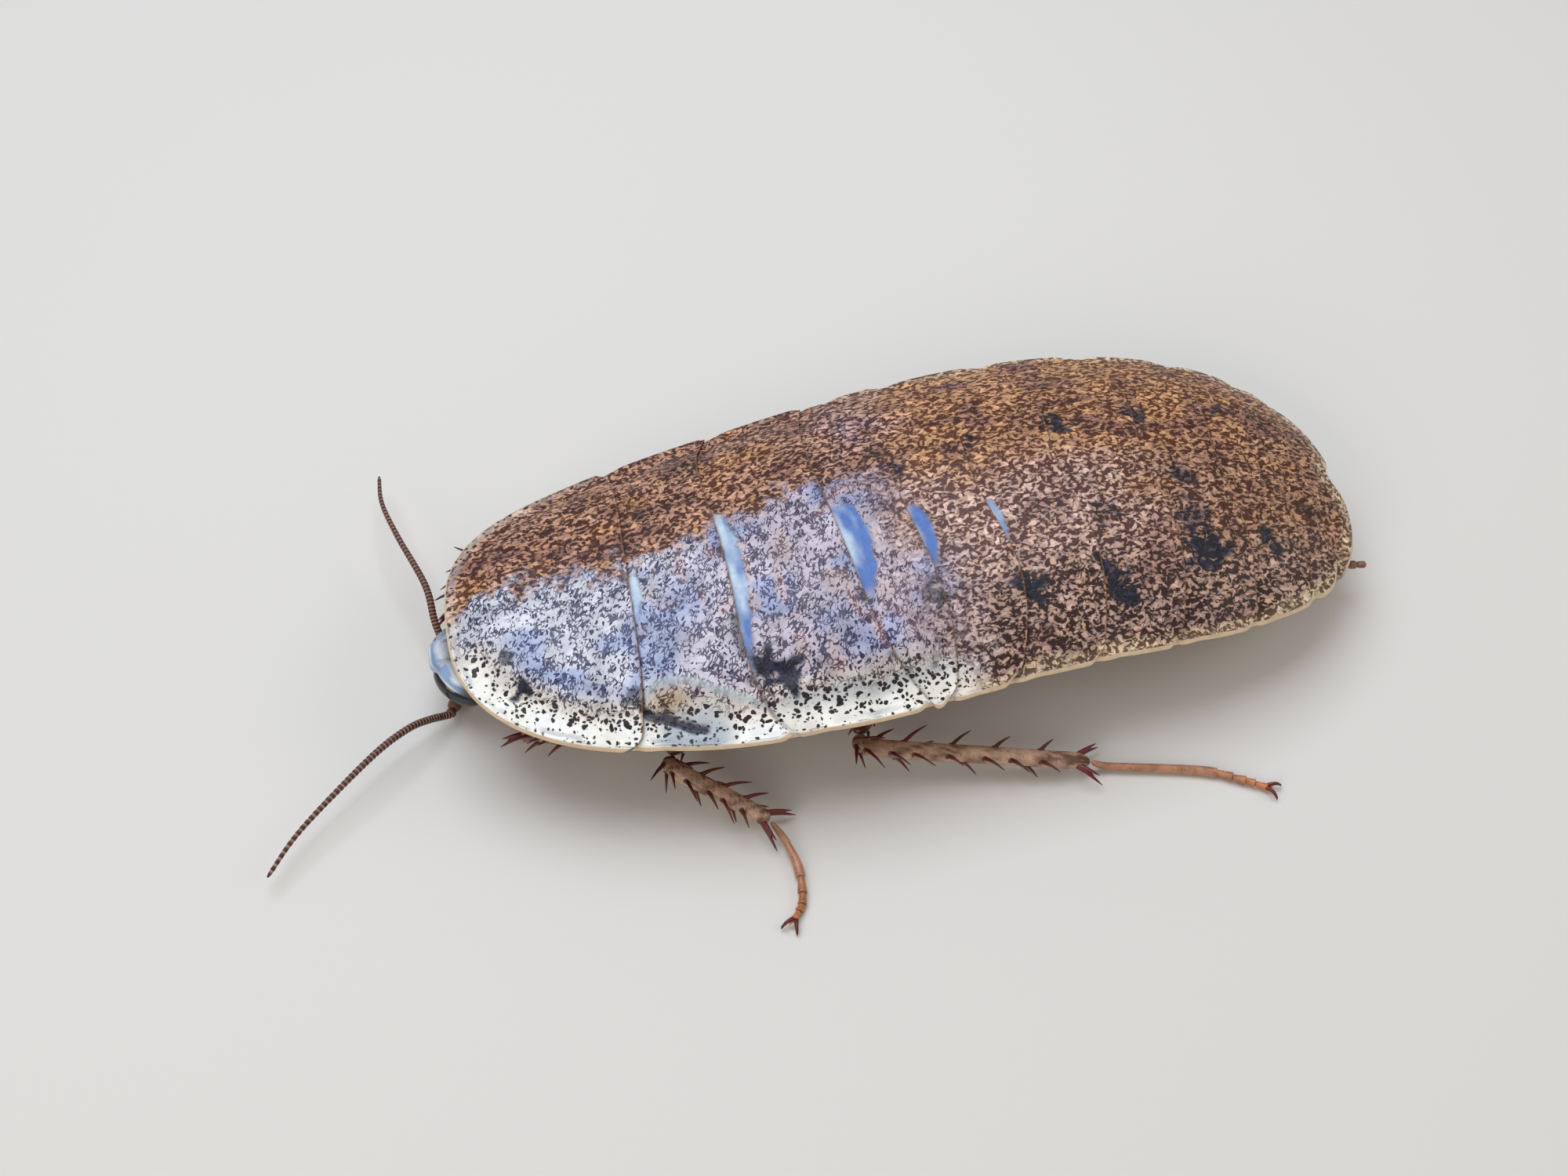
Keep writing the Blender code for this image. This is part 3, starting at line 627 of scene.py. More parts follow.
def colours_of_back(name, s, y, rim, behind_edge, before_edge):
    # Light tone, dark tone and veil over the back
    def patches(a, b, size, seed, low, high):
        return ease(clouds(a, b, size, seed), low, high)
    cloud = clouds(s, y, 1.3, 11) - 0.5 + 0.6 * (clouds(s, y, 0.5, 12) - 0.5)
    fine = clouds(s, y, 0.24, 13) - 0.5
    near = y + cloud
    along = s + 1.4 * cloud
    inside = rim + 0.3 * cloud

    thorax = ease(along, 17.5, 13.5)
    side = y - np.interp(s, *zip(*FAR_LINE)) + 0.9 * cloud + 0.7 * fine
    far = ease(side, 0.45, -0.45)
    left = ease(near, 1.0, 2.6)
    border = (ease(inside, 1.75 + 0.3 * ease(s, 2.5, 0.5), 0.55) * left * thorax
              + 0.6 * ease(inside, 0.6, 0.2) * (1 - left) * ease(along, 7, 2))
    band = ease(inside, 2.3, 1.2) * left * thorax

    tones = np.broadcast_to(ZONES["pink"], (*s.shape, 2, 3)).copy()

    def lay(zone, share):
        tones[:] = mix(tones, ZONES[zone], np.clip(share, 0, 1)[..., None, None])
    lay("umber", ease(along, 21.5, 27))
    lay("amber", ease(near, 0.6, -1.6) * ease(along, 31, 27) * 0.9)
    lay("maroon", ease(near, 2.4, 4.4) * ease(along, 14, 18) * 0.9)
    # The thorax's middle is painted lilac, pale blue-white and sky-blue: a painted reflection of the
    # sky on the glossy cuticle, palest towards the front
    lay("lilac_reflection", thorax)
    lay("pale_reflection", thorax * ease(along, 11, 5) * 0.9)
    lay("blue_reflection", thorax * patches(s * 0.6, y, 0.8, 14, 0.45, 0.75) * ease(inside, 1.5, 2.5) * 0.65)
    lay("rose", thorax * patches(s, y * 0.7, 0.5, 15, 0.6, 0.8) * ease(along, 5, 10) * 0.7)
    lay("rust", far * thorax)
    lay("amber", far * thorax * patches(s, y, 1.1, 16, 0.5, 0.85) * 0.7)
    lay("plum", far * patches(s * 0.45, y, 0.55, 22, 0.58, 0.82) * 0.75)
    lay("plum", (1 - thorax) * patches(s, y * 0.7, 1.0, 23, 0.62, 0.85) * 0.5)
    lay("amber", (1 - thorax) * patches(s * 0.6, y, 1.2, 24, 0.6, 0.85) * ease(near, 3, 1) * 0.6)
    lay("sand", band * 0.75)
    # The pale border is painted white on the near side and sand on the far side: partly its real colour
    # and partly painted light, the near side lit and the far side in shade
    lay("white", border * left)
    lobe = ease(s, 6.2, 6.8) * ease(off_line(s, np.abs(y), CREASE) + 0.3 * cloud, 1.3, 0.5)
    lay("slate", np.maximum(lobe, ease(s, 9.6, 10.4) * hump(inside, 1.15, 0.35)) * border * left * 0.9)
    lay("sand", border * (1 - left))
    lay("edge", ease(inside, 0.55, 0.25) * (1 - thorax) * 0.85)
    light, dark = tones[..., 0, :], tones[..., 1, :]
    glow = 1.07 - 0.2 * thorax * (1 - far) * (1 - border) + 0.35 * (clouds(s, y, 0.7, 17) - 0.5)
    light, dark = light * glow[..., None], dark * glow[..., None]

    # The rim, with a thin line and a bluish band inside it on the thorax
    pale_rim = ease(rim, 0.085, 0.05)
    smooth = ease(rim, 0.42, 0.3) * ease(rim, 0.15, 0.2) * thorax * ease(cloud, -0.1, 0.25)
    light = paint(light, SLATE * 1.3, smooth * 0.5)
    light = paint(light, INK, hump(rim, 0.12, 0.02) * thorax * ease(fine, -0.15, 0.1) * 0.75)
    light, dark = paint(light, RIM, pale_rim), paint(dark, RIM * 0.75, pale_rim)

    dots = ease(border, 0.05, 0.5) * (0.45 + 0.55 * ease(inside, 0.2, 0.9))
    dashes = thorax * (1 - far) * ease(border, 0.8, 0.15)
    granules = np.clip(1 - thorax + thorax * far, 0, 1) * (1 - border)
    calm = (1 - pale_rim) * (1 - 0.6 * smooth)

    if name in STRIPS:
        # The smooth strip just behind the rear edge of the plate before, painted ice-white to blue: a
        # painted reflection of the sky
        start, stop, wide, blue = STRIPS[name]
        t = np.clip((y - start) / (stop - start), 0.001, 0.999)
        reach = wide * np.sin(np.pi * t ** 0.65) ** 0.7 * (1 + 0.25 * fine)
        strip = ease(behind_edge, reach + 0.05, reach - 0.04)
        strip = strip * ease(t, 0.002, 0.12) * ease(t, 0.998, 0.8)
        deep = blue * ease(behind_edge / np.maximum(reach, 0.05), -0.2, 0.5) + 0.5 * ease(t, 0.45, 0.8)
        deep = deep + clouds(s * 3, y * 0.7, 0.5, 19) - 0.5
        light = paint(light, paint(STRIP_REFLECTION_PALE, STRIP_REFLECTION_BLUE, np.clip(deep, 0, 1)), strip)
        light = paint(light, SLATE * 0.8, hump(behind_edge, reach, 0.04) * ease(t, 0.002, 0.15) * 0.5)
        calm = calm * (1 - 0.92 * strip)

    # Painted shade: a dark line just behind the rear edge of the plate before, where it overhangs, and
    # dark in the mesonotum's crease; with them the real dark teeth before a plate's rear edge and the
    # dark spots
    spots_and_shade = (0.55 * ease(fine, -0.3, 0.2) * hump(behind_edge, 0, 0.05) * ease(rim, 0.25, 0.9)
            * mix(0.45, 1.0, thorax))
    teeth = patches(y, s * 0.4, 0.42, 18, 0.62, 0.85) * ease(before_edge, 0.4, 0.05)
    spots_and_shade = np.maximum(spots_and_shade, 0.8 * teeth * ease(rim, 1.2, 2.0) * thorax)
    for s0, y0, radius, depth in SPOTS:
        away = np.hypot((s - s0) * 1.1, y - y0) / radius + cloud + 1.7 * fine
        spots_and_shade = np.maximum(spots_and_shade, ease(depth, -0.2, 0.9) * ease(away, 1.25, 0.65))
    crease = off_line(s, y, CREASE) + 0.24 * fine + 0.08 * cloud
    spots_and_shade = np.maximum(spots_and_shade, 0.95 * ease(crease, 0.16, 0.05))
    yellow = hump(np.hypot((s - 7.0) * 0.8, (y - 4.55) * 1.3), 0, 0.5)
    light, dark = paint(light, GOLD, yellow * 0.75), paint(dark, GOLD_DARK, yellow)
    # Painted highlight: the wing ridge is painted pale pearl, as if lit
    ridge = ease(off_line(s, y, WING_RIDGE), 0.18, 0.06)
    light = paint(paint(light, RIDGE_HIGHLIGHT, ridge * 0.7), NAVY * 0.8, spots_and_shade)
    dark = paint(dark, INK * 0.4, spots_and_shade)
    brink = ease(before_edge, 0.08, 0.03) * ease(rim, 0.3, 0.8) * 0.6
    light, dark = paint(light, BRINK, brink), paint(dark, BRINK * 0.7, brink)
    veil = np.stack([dots, dashes, granules], -1) * (calm * (1 - 0.6 * ridge))[..., None]
    return np.clip(light, 0, 1), np.clip(dark, 0, 1), veil


def spaced(length, first=(), last=()):
    # Distances along a plate, closer together at its two ends
    body = np.linspace(0, length, max(3, int(length / WEAVE)))[1:-1]
    body = body[(body > max(first, default=0) + WEAVE / 3)
                & (body < length - max(last, default=0) - WEAVE / 3)]
    return np.concatenate([[0.0], first, body, length - np.array(last)[::-1], [length]])


# How far from an edge the rows of points of its rolled margin lie
LIP = (0.006, 0.02, 0.04, 0.065, 0.09, 0.125, 0.155, 0.19)
REAR_LIP = (0.008, 0.02, 0.04)


def back_plate(name, front, rear, before, hood=False, tail=False):
    # One plate as a thin shell whose margin is a rounded bead. front and rear are functions of the
    # share across, and so is before, the rear edge of the plate that it slips under.
    half = float(half_width(min(WIDEST, rear(1.0))))
    y_line = spaced(2 * half, LIP, LIP) / half - 1
    length = float(rear(0.0) - front(0.0))
    v_line = spaced(length, LIP if hood else (), LIP if tail else REAR_LIP) / length
    v, u = np.meshgrid(v_line, y_line, indexing="ij")
    s = mix(front(u), rear(u), v)
    row = half_width(mix(front(1.0), rear(1.0), v))
    hidden = 1 - np.clip((s - before(u)) / (rear(u) - before(u)), 0, 1)
    far_share = np.where(u < 0, FAR_SHARE, 1.0)
    y = u * (row - NICK * far_share * (hidden ** 6 + 0.5 * hidden ** 2))

    if not tail:
        # Round the corner between the side and the rear edge
        a = CORNER - np.clip((1 - np.abs(u)) * row, 0, CORNER)
        b = CORNER - np.clip(rear(u) - s, 0, CORNER)
        pull = 1 - np.maximum(a, b) / np.maximum(np.hypot(a, b), 1e-9)
        s, y = s - b * pull, y - np.sign(u) * a * pull

    side = (1 - np.abs(u)) * row
    rim = distance_to_outline(s, y) if hood or tail else side
    before_edge = rear(u) - s
    behind_edge = s - before(u)
    if tail:
        rim = np.minimum(rim, np.abs(before_edge))

    across4 = np.abs(u) ** 4
    share = v if hood else np.clip(behind_edge / np.maximum(rear(u) - before(u), 0.1), -0.1, 1)
    dive = DIVE * far_share * ease(behind_edge, 0.9, 0.0)
    crest = back_height(s, y) + STEP * share * (1 - across4) - dive * across4 + relief(s, y, rim)

    thick, rear_round = SHELL, 0.0
    if not tail:
        thick = SHELL * mix(0.35, 1.0, ease(before_edge, 0.0, 0.6))
        past = 1 - np.clip(before_edge / REAR_BEAD, 0, 1)
        rear_round = 0.035 * (1 - np.sqrt(np.clip(1 - past ** 2, 0, 1)))
    fall = BEAD - np.sqrt(np.clip(BEAD ** 2 - (BEAD - np.clip(rim, 0, BEAD)) ** 2, 0, None))
    fall = np.minimum(fall, thick * 0.46)
    top = np.stack([s, y, crest - fall - rear_round], -1)
    bottom = np.stack([s, y, crest - thick + fall], -1)

    light, dark, veil = colours_of_back(name, s, y, np.maximum(rim, 0), behind_edge,
                                        np.full_like(s, 9.0) if tail else before_edge)
    below = np.broadcast_to(UNDER_BACK, light.shape)
    points = np.concatenate([top.reshape(-1, 3), bottom.reshape(-1, 3)])
    colours = {
        "tone": np.concatenate([light.reshape(-1, 3), below.reshape(-1, 3)]),
        "under": np.concatenate([dark.reshape(-1, 3), below.reshape(-1, 3) * 0.6]),
        "veil": np.concatenate([veil.reshape(-1, 3), np.zeros_like(veil).reshape(-1, 3)]),
        "skin": points,
    }
    rows, columns = s.shape
    placed = (bent(points) + SHIFT) * MM
    new_object(name + "_shell", placed, shell_faces(rows, columns), BACK, [name],
               colours)


def make_back():
    def hood_front(u):
        return front_of_outline(np.asarray(u) * HOOD_HALF)

    def tail_rear(u):
        notch = TAIL_NOTCH * np.clip(1 - (np.abs(u) / 0.3) ** 2, 0, None)
        return rear_of_outline(np.asarray(u) * TAIL_HALF) - notch

    rears = {name: partial(edge, spec) for name, spec in PLATES.items()}
    rears["supra_anal_plate"] = tail_rear
    before = partial(edge, (-NO_PLATE, 0, 1, 0))
    for name, rear in rears.items():
        hood, tail = name == "pronotum", name == "supra_anal_plate"
        front = hood_front if hood else lambda u, before=before: before(u) - OVERLAP
        back_plate(name, front, rear, before, hood, tail)
        before = rear


# The underside
BELLY_WIDTH = 0.78
BELLY_EDGE = 0.5
BELLY_DEPTH = 1.0
BELLY_FRONT = 15.9
BELLY_END = 31.3
BELLY_PLATES = {"sternite_2": 18.2, "sternite_3": 20.7, "sternite_4": 23.0, "sternite_5": 25.2,
                "sternite_6": 27.2, "subgenital_plate": BELLY_END}
BROWN = srgb(112, 70, 44)
HONEY = srgb(168, 118, 76)
SKIN = srgb(186, 158, 128)
BREAST_PLATES = {"prosternum": (3.2, 6.6, 0.7), "mesosternum": (6.9, 10.4, 0.8),
                 "metasternum": (10.7, 15.3, 0.8)}


def closed_slab(name, surfaces, colour, nodes, rows, columns):
    # A slab between two surfaces. surfaces turns the shares across and backwards into s, the upper y
    # and z, and the lower y and z.
    v, u = np.meshgrid(np.linspace(0, 1, rows), np.linspace(-1, 1, columns), indexing="ij")
    s, upper, lower = surfaces(u, v)
    points = np.concatenate([np.stack([s, y, z], -1).reshape(-1, 3) for y, z in (upper, lower)])
    build = Build()
    build.add(points, shell_faces(rows, columns).tolist(), np.tile(colour(u, v).reshape(-1, 3), (2, 1)))
    build.finish(name, BELLY, "ventral_cuticle", nodes)


def belly_colour(u, v):
    sides = ease(np.abs(u), 0.45, 0.95)
    stripe = hump(np.abs(u), 0.62, 0.08) * 0.5
    tone = paint(HONEY, BROWN, np.clip(sides * 0.6 + ease(v, 0.72, 1.0) * 0.55 + stripe, 0, 1))
    return paint(tone, tone * 0.6, 0.6 * hump(v, 1.0, 0.05))


def belly_plate(front, rear, last, u, v):
    half_front = BELLY_WIDTH * float(half_width(front))
    half_rear = half_front * 0.55 if last else BELLY_WIDTH * float(half_width(rear))
    starts = front - 0.5 * u * u - OVERLAP
    ends = mix(BELLY_END, front + 1.6, np.abs(u) ** 2.5) if last else rear - 0.5 * u * u + 0.1
    s, y = mix(starts, ends, v), u * mix(half_front, half_rear, v)
    hang = BELLY_DEPTH * swell(s, HIGHEST, ARCH_POWER, ARCH_ROOT) * (1 - np.abs(u) ** 2.5)
    lap = 0.09 * ease(v, 0.0, 0.3) - 0.05 * hump(v, 1.0, 0.05)
    rough = 0.02 * (clouds(s, y, 0.5, 31) - 0.5) + 0.25 * ease(np.abs(u), 0.9, 1.0) + 0.03
    base = margin_height(s) - FLANGE - GAP
    return s, (y, base + GAP * 0.5), (y, base - BELLY_EDGE - hang - lap + rough)


def breast_plate(front, rear, half, u, v):
    s = mix(front, rear, v)
    keel = 0.9 + 0.2 * np.sin(np.pi * v) - 0.35 * np.abs(u) ** 3 - 0.3 * np.abs(2 * v - 1) ** 6
    base = margin_height(s) - FLANGE - GAP
    return s, (u * half, base + 0.1), (u * half * 0.8, base - keel)


def membrane(u, v):
    # Soft skin that closes the body between the plates of the back and of the belly
    s = mix(1.9, 31.0, v)
    y = u * 0.80 * half_width(s) * np.sqrt(np.clip(1 - np.abs(2 * v - 1) ** 10, 0.0004, 1))
    upper = mix(margin_height(s) - 0.55, back_height(s, y) - 0.4, ease(1 - np.abs(u), 0, 0.3))
    folds = 0.05 * np.sin(s * 9) * ease(np.abs(u), 0.5, 1.0)
    sink = mix(0.25, 1.1 + folds, ease(1 - np.abs(u), 0.0, 0.12))
    lower = margin_height(s) - 0.5 - sink * mix(0.6, 0.95, ease(s, 12, 16))
    return s, (y, upper), (y, lower)


def membrane_colour(u, v):
    return paint(SKIN, HONEY, ease(np.abs(u), 0.3, 0.9) * 0.6)


def make_belly():
    front = BELLY_FRONT
    for name, rear in BELLY_PLATES.items():
        closed_slab(name + "_shell", partial(belly_plate, front, rear, rear == BELLY_END), belly_colour,
                    [name], 34, 110)
        front = rear + GAP
    for name, spec in BREAST_PLATES.items():
        closed_slab(name + "_shell", partial(breast_plate, *spec), belly_colour, [name], 30, 30)
    closed_slab("body_membrane", membrane, membrane_colour, [], 160, 80)


# The head, seen on its own axes: down the face, to the left and out from the face
HEAD_CENTRE = np.array([0.66, 0.0, 1.53])
HEAD_TILT = np.radians(32)
HEAD_SIZE = (1.7, 1.7, 0.82)
EYE_MIDDLE = np.radians(55)
EYE_REACH = np.radians(42)
EYE_INSET = 0.83
EYE_OUT = 0.28
EYE_THICK = 0.24
EYE_TALL = 0.34
EYE_DEEP = 0.02            # how far out of the head an eye bulges
NECK = [(1.3, 0, 1.9), (2.6, 0, 2.2), (3.9, 0, 2.7)]
# Balls of the jaws and lips: middle and half-sizes
JAWS = [((2.75, 0, 0.62), (0.28, 0.5, 0.36)), ((2.7, 0.42, 0.64), (0.3, 0.32, 0.3)),
        ((2.7, -0.42, 0.64), (0.3, 0.32, 0.3)), ((2.35, 0.0, 0.85), (0.5, 0.75, 0.3))]
PALP = [(2.45, 1.05, 0.6), (2.3, 1.4, 0.5), (2.0, 1.65, 0.42), (1.6, 1.7, 0.4)]
PALP_ROOT = (2.45, 0.6, 0.75)
PALP_JOINTS = (-0.12, 0.12, 0.3, 0.62, 1.0)
PALP_HALF = (0.15, 0.15, 0.17, 0.2)
MOUTHWARD = np.array([np.cos(HEAD_TILT), 0, -np.sin(HEAD_TILT)])
FACEWARD = np.array([-np.sin(HEAD_TILT), 0, -np.cos(HEAD_TILT)])
SIDES = {"left": 1, "right": -1}
SCAPE_ROOT = (-0.1, 0.45, 0.45)
SCAPE_END = (-0.4, 1.1, 0.5)
FEELERS = {
    "left": [(-0.8, 0.78, 0.6), (-1.2, 1.0, 0.9), (-1.9, 1.4, 1.25), (-3.0, 2.1, 1.35),
             (-4.6, 3.3, 1.2), (-6.1, 4.5, 0.95), (-7.2, 5.7, 0.7)],
    "right": [(-0.35, -2.08, 0.75), (-0.5, -2.7, 1.4), (-0.6, -4.0, 1.9), (-1.3, -6.4, 2.0),
              (-1.7, -8.4, 1.6), (-1.7, -10.2, 1.1)],
}
FEELER_THICK = 0.22
FEELER_TIP = 0.11
CHESTNUT = srgb(104, 56, 34)
PLUM = srgb(58, 40, 48)
# Painted reflection of the sky on the glossy crown of the head: its blue and its white
REFLECTED_SKY = srgb(150, 178, 216)
REFLECTED_WHITE = srgb(232, 242, 254)
STRAW = srgb(176, 132, 92)


def on_head(points):
    points = np.asarray(points, float)
    return (HEAD_CENTRE + points[..., :1] * MOUTHWARD + points[..., 2:] * FACEWARD
            + points[..., 1:2] * np.array([0, 1, 0]))


def ball(fineness):
    bm = bmesh.new()
    bmesh.ops.create_icosphere(bm, subdivisions=fineness, radius=1.0)
    points = np.array([vert.co[:] for vert in bm.verts])
    faces = [[vert.index for vert in face.verts] for face in bm.faces]
    bm.free()
    return points, faces


def make_head():
    unit_ball, faces = ball(6)
    down, side, out = unit_ball.T
    narrow = 1 - 0.45 * np.clip(down, 0, 1) ** 1.5 + 0.1 * np.clip(-down, 0, 1)
    thin = 1 - 0.3 * np.clip(down, 0, 1)
    square = np.sign(side) * np.abs(side) ** 0.85
    face = ease(out, 0.0, 0.5)
    clypeus = ease(down, 0.42, 0.47) * ease(np.abs(side), 0.55, 0.42) * face
    seam = hump(down, 0.44, 0.02) * ease(np.abs(side), 0.6, 0.5) * face
    labrum = ease(down, 0.74, 0.78) * face
    hollow = hump(np.hypot(down + 0.1, np.abs(side) - 0.27), 0, 0.16) * face
    brow = hump(down, -0.45, 0.25) * hump(side, 0, 0.35) * face
    out_size = HEAD_SIZE[2] * thin + 0.05 * clypeus - 0.04 * seam + 0.05 * labrum - 0.05 * hollow
    out_size = out_size + 0.03 * brow
    round_edge = np.arctan2(np.abs(side), -down)
    inset = ease(np.abs(round_edge - EYE_MIDDLE), EYE_REACH + 0.08, EYE_REACH - 0.12)
    trim = 1 - 0.11 * inset * ease(np.hypot(down, side), 0.5, 0.9)
    placed = np.stack([down * trim * HEAD_SIZE[0], square * trim * HEAD_SIZE[1] * narrow,
                       out * out_size], -1)
    tone = paint(CHESTNUT, PLUM, ease(down, -0.2, -0.5))
    # The crown is painted blue to white in streaks: a painted reflection of the sky on the glossy head
    crown = ease(round_edge, 1.3, 0.9) * ease(np.hypot(down, side), 0.3, 0.6)
    crown = crown * ease(out, -0.75, -0.35)
    reflection_streaks = clouds(round_edge * 1.2, out * 3, 0.5, 21)
    tone = paint(tone, paint(REFLECTED_SKY, REFLECTED_WHITE, ease(reflection_streaks, 0.3, 0.7)), crown * 0.95)
    tone = paint(tone, PLUM * 1.5, ease(side, -0.25, -0.5) * crown * 0.6)
    tone = paint(tone, STRAW, clypeus * 0.6)
    tone = paint(tone, PLUM * 0.7, np.clip(seam + hollow, 0, 1) * 0.7)
    build = Build()
    build.add(on_head(placed), faces, tone)
    small_ball, around = ball(5)
    lip = small_ball * (0.5, 0.62, 0.28) + (1.25, 0, 0.12)
    build.add(on_head(lip), around, STRAW * 0.8)
    build.add(*tube(NECK, lambda t: (1.25 * blunt(t, 8), (0.5 + 0.05 * np.sin(t * 40)) * blunt(t, 8)),
                    40, 28), SKIN)
    build.finish("head_capsule", HEAD, "head_cuticle", ["head"])

    # The eyes are crescents round the edge of the head
    for name, way in SIDES.items():
        across, out, along = unit_ball.T
        angle = EYE_MIDDLE + along * EYE_REACH
        away = across * EYE_THICK + EYE_DEEP
        placed = np.stack([-np.cos(angle) * (HEAD_SIZE[0] * EYE_INSET + away),
                           way * np.sin(angle) * (HEAD_SIZE[1] * EYE_INSET + away),
                           EYE_OUT + out * EYE_TALL], -1)
        build = Build()
        build.add(on_head(placed), faces, INK)
        build.finish("compound_eye_" + name, EYE, "eye", ["eye_" + name])

    build = Build()
    for place, size in JAWS:
        build.add(small_ball * size + place, around, CHESTNUT)
    build.finish("jaws_and_lip", HEAD, "head_cuticle", ["mouthparts"])

    for name, way in SIDES.items():
        build = Build()
        for start, end, half in zip(PALP_JOINTS, PALP_JOINTS[1:], PALP_HALF):
            piece = spline(PALP, np.linspace(max(start, 0), end, 4))
            if start < 0:
                piece = np.concatenate([[PALP_ROOT], piece[1:]])
            build.add(*tube(piece * (1, way, 1),
                            lambda t: (half * blunt(t, 6) * mix(0.8, 1.1, t),) * 2, 16, 14),
                      mix(STRAW, CHESTNUT, 0.35))
        build.finish("palp_joints_" + name, HEAD, "head_cuticle", ["palp_" + name])


# Rings of a feeler's joint: share along it, share of its thickness, and how pale
JOINT_RINGS = ((0.02, 0.80, 1.0), (0.14, 0.95, 0.4), (0.45, 1.0, 0.0), (0.75, 1.04, 0.0),
               (0.93, 0.98, 0.3))
JOINT_DARK = srgb(74, 32, 24)
JOINT_PALE = srgb(206, 166, 146)
FEELER_SIDES = 12


def make_feeler_base(name, socket, root, end):
    build = Build()
    for route, half, tone in (([socket, root, mix(root, end, 0.5), end], 0.25, UMBER * 0.7),
                              ([mix(root, end, 0.9), end + (end - root) * 0.3], 0.19, UMBER * 0.6)):
        build.add(*tube(route, lambda t: (half * blunt(t, 5) * mix(0.8, 1.05, t),) * 2, 22, 18), tone)
    build.finish("feeler_base_" + name, FEELER, "antenna", ["antenna_base_" + name])


def make_feeler(name, base_tip):
    # A string of small joints, each with a pale ring at its end
    route = spline(FEELERS[name], np.linspace(0, 1, 200))
    lead = base_tip * (-1, 1, 1)
    route = np.concatenate([spline(np.concatenate([[lead], route[4:30:12]]), np.linspace(0, 1, 30)),
                            route[29:]])
    length = np.concatenate([[0], np.cumsum(np.linalg.norm(np.diff(route, axis=0), axis=1))])
    stops = [0.0]
    while stops[-1] < length[-1] - 0.12:
        stops.append(stops[-1] + mix(0.105, 0.26, (stops[-1] / length[-1]) ** 1.2))
    rings = [(mix(start, stop, share), swollen, pale)
             for start, stop in zip(stops, stops[1:]) for share, swollen, pale in JOINT_RINGS]
    place, swollen, pale = np.array(rings).T
    centre = np.stack([np.interp(place, length, axis) for axis in route.T], -1)
    half = mix(FEELER_THICK, FEELER_TIP, (place / length[-1]) ** 1.3) * 0.62 * swollen
    half[-3:] *= (0.8, 0.6, 0.35)
    _, across, up = frames(centre)
    angle = 2 * np.pi * np.arange(FEELER_SIDES) / FEELER_SIDES
    points = centre[:, None] + half[:, None, None] * (across[:, None] * np.cos(angle)[:, None]
                                                      + up[:, None] * np.sin(angle)[:, None])
    count = len(place)
    faces = ring_faces(count, FEELER_SIDES)
    faces += [list(range(FEELER_SIDES)), list(range((count - 1) * FEELER_SIDES, count * FEELER_SIDES))]
    tones = paint(JOINT_DARK, JOINT_PALE, np.repeat(pale, FEELER_SIDES) * 0.85)
    build = Build()
    build.add(points, faces, tones)
    build.finish("feeler_" + name, FEELER, "antenna", ["antenna_" + name], unbent)


def make_tail_feeler(name, way):
    route = np.array([(30.2, 2.5, 1.5), (31.2, 2.8, 1.55), (32.1, 3.1, 1.7)]) * (1, way, 1)
    shares = np.linspace(-0.25, 1, 9)
    build = Build()
    for start, stop in zip(shares, shares[1:]):
        a, b = [spline(route, [f])[0] + (route[1] - route[0]) * min(f, 0) * 2 for f in (start, stop)]
        half = mix(0.34, 0.12, max(0, start) ** 0.8)
        build.add(*tube([a, mix(a, b, 0.5), b + (b - a) * 0.15],
                        lambda t: (half * blunt(t, 4) * mix(0.85, 1.0, t),
                                   half * 0.75 * blunt(t, 4) * mix(0.85, 1.0, t)), 12, 14),
                  mix(AMBER, UMBER, 0.5))
    build.finish("tail_feeler_" + name, LEG, "leg_cuticle", ["cercus_" + name])


def make_feelers():
    for name, way in SIDES.items():
        root, end = np.array(SCAPE_ROOT) * (1, way, 1), np.array(SCAPE_END) * (1, way, 1)
        make_feeler_base(name, on_head(np.array([-0.15, 0.42 * way, 0.72])), root, end)
        make_feeler(name, bent(end + (end - root) * 0.25))
        make_tail_feeler(name, way)


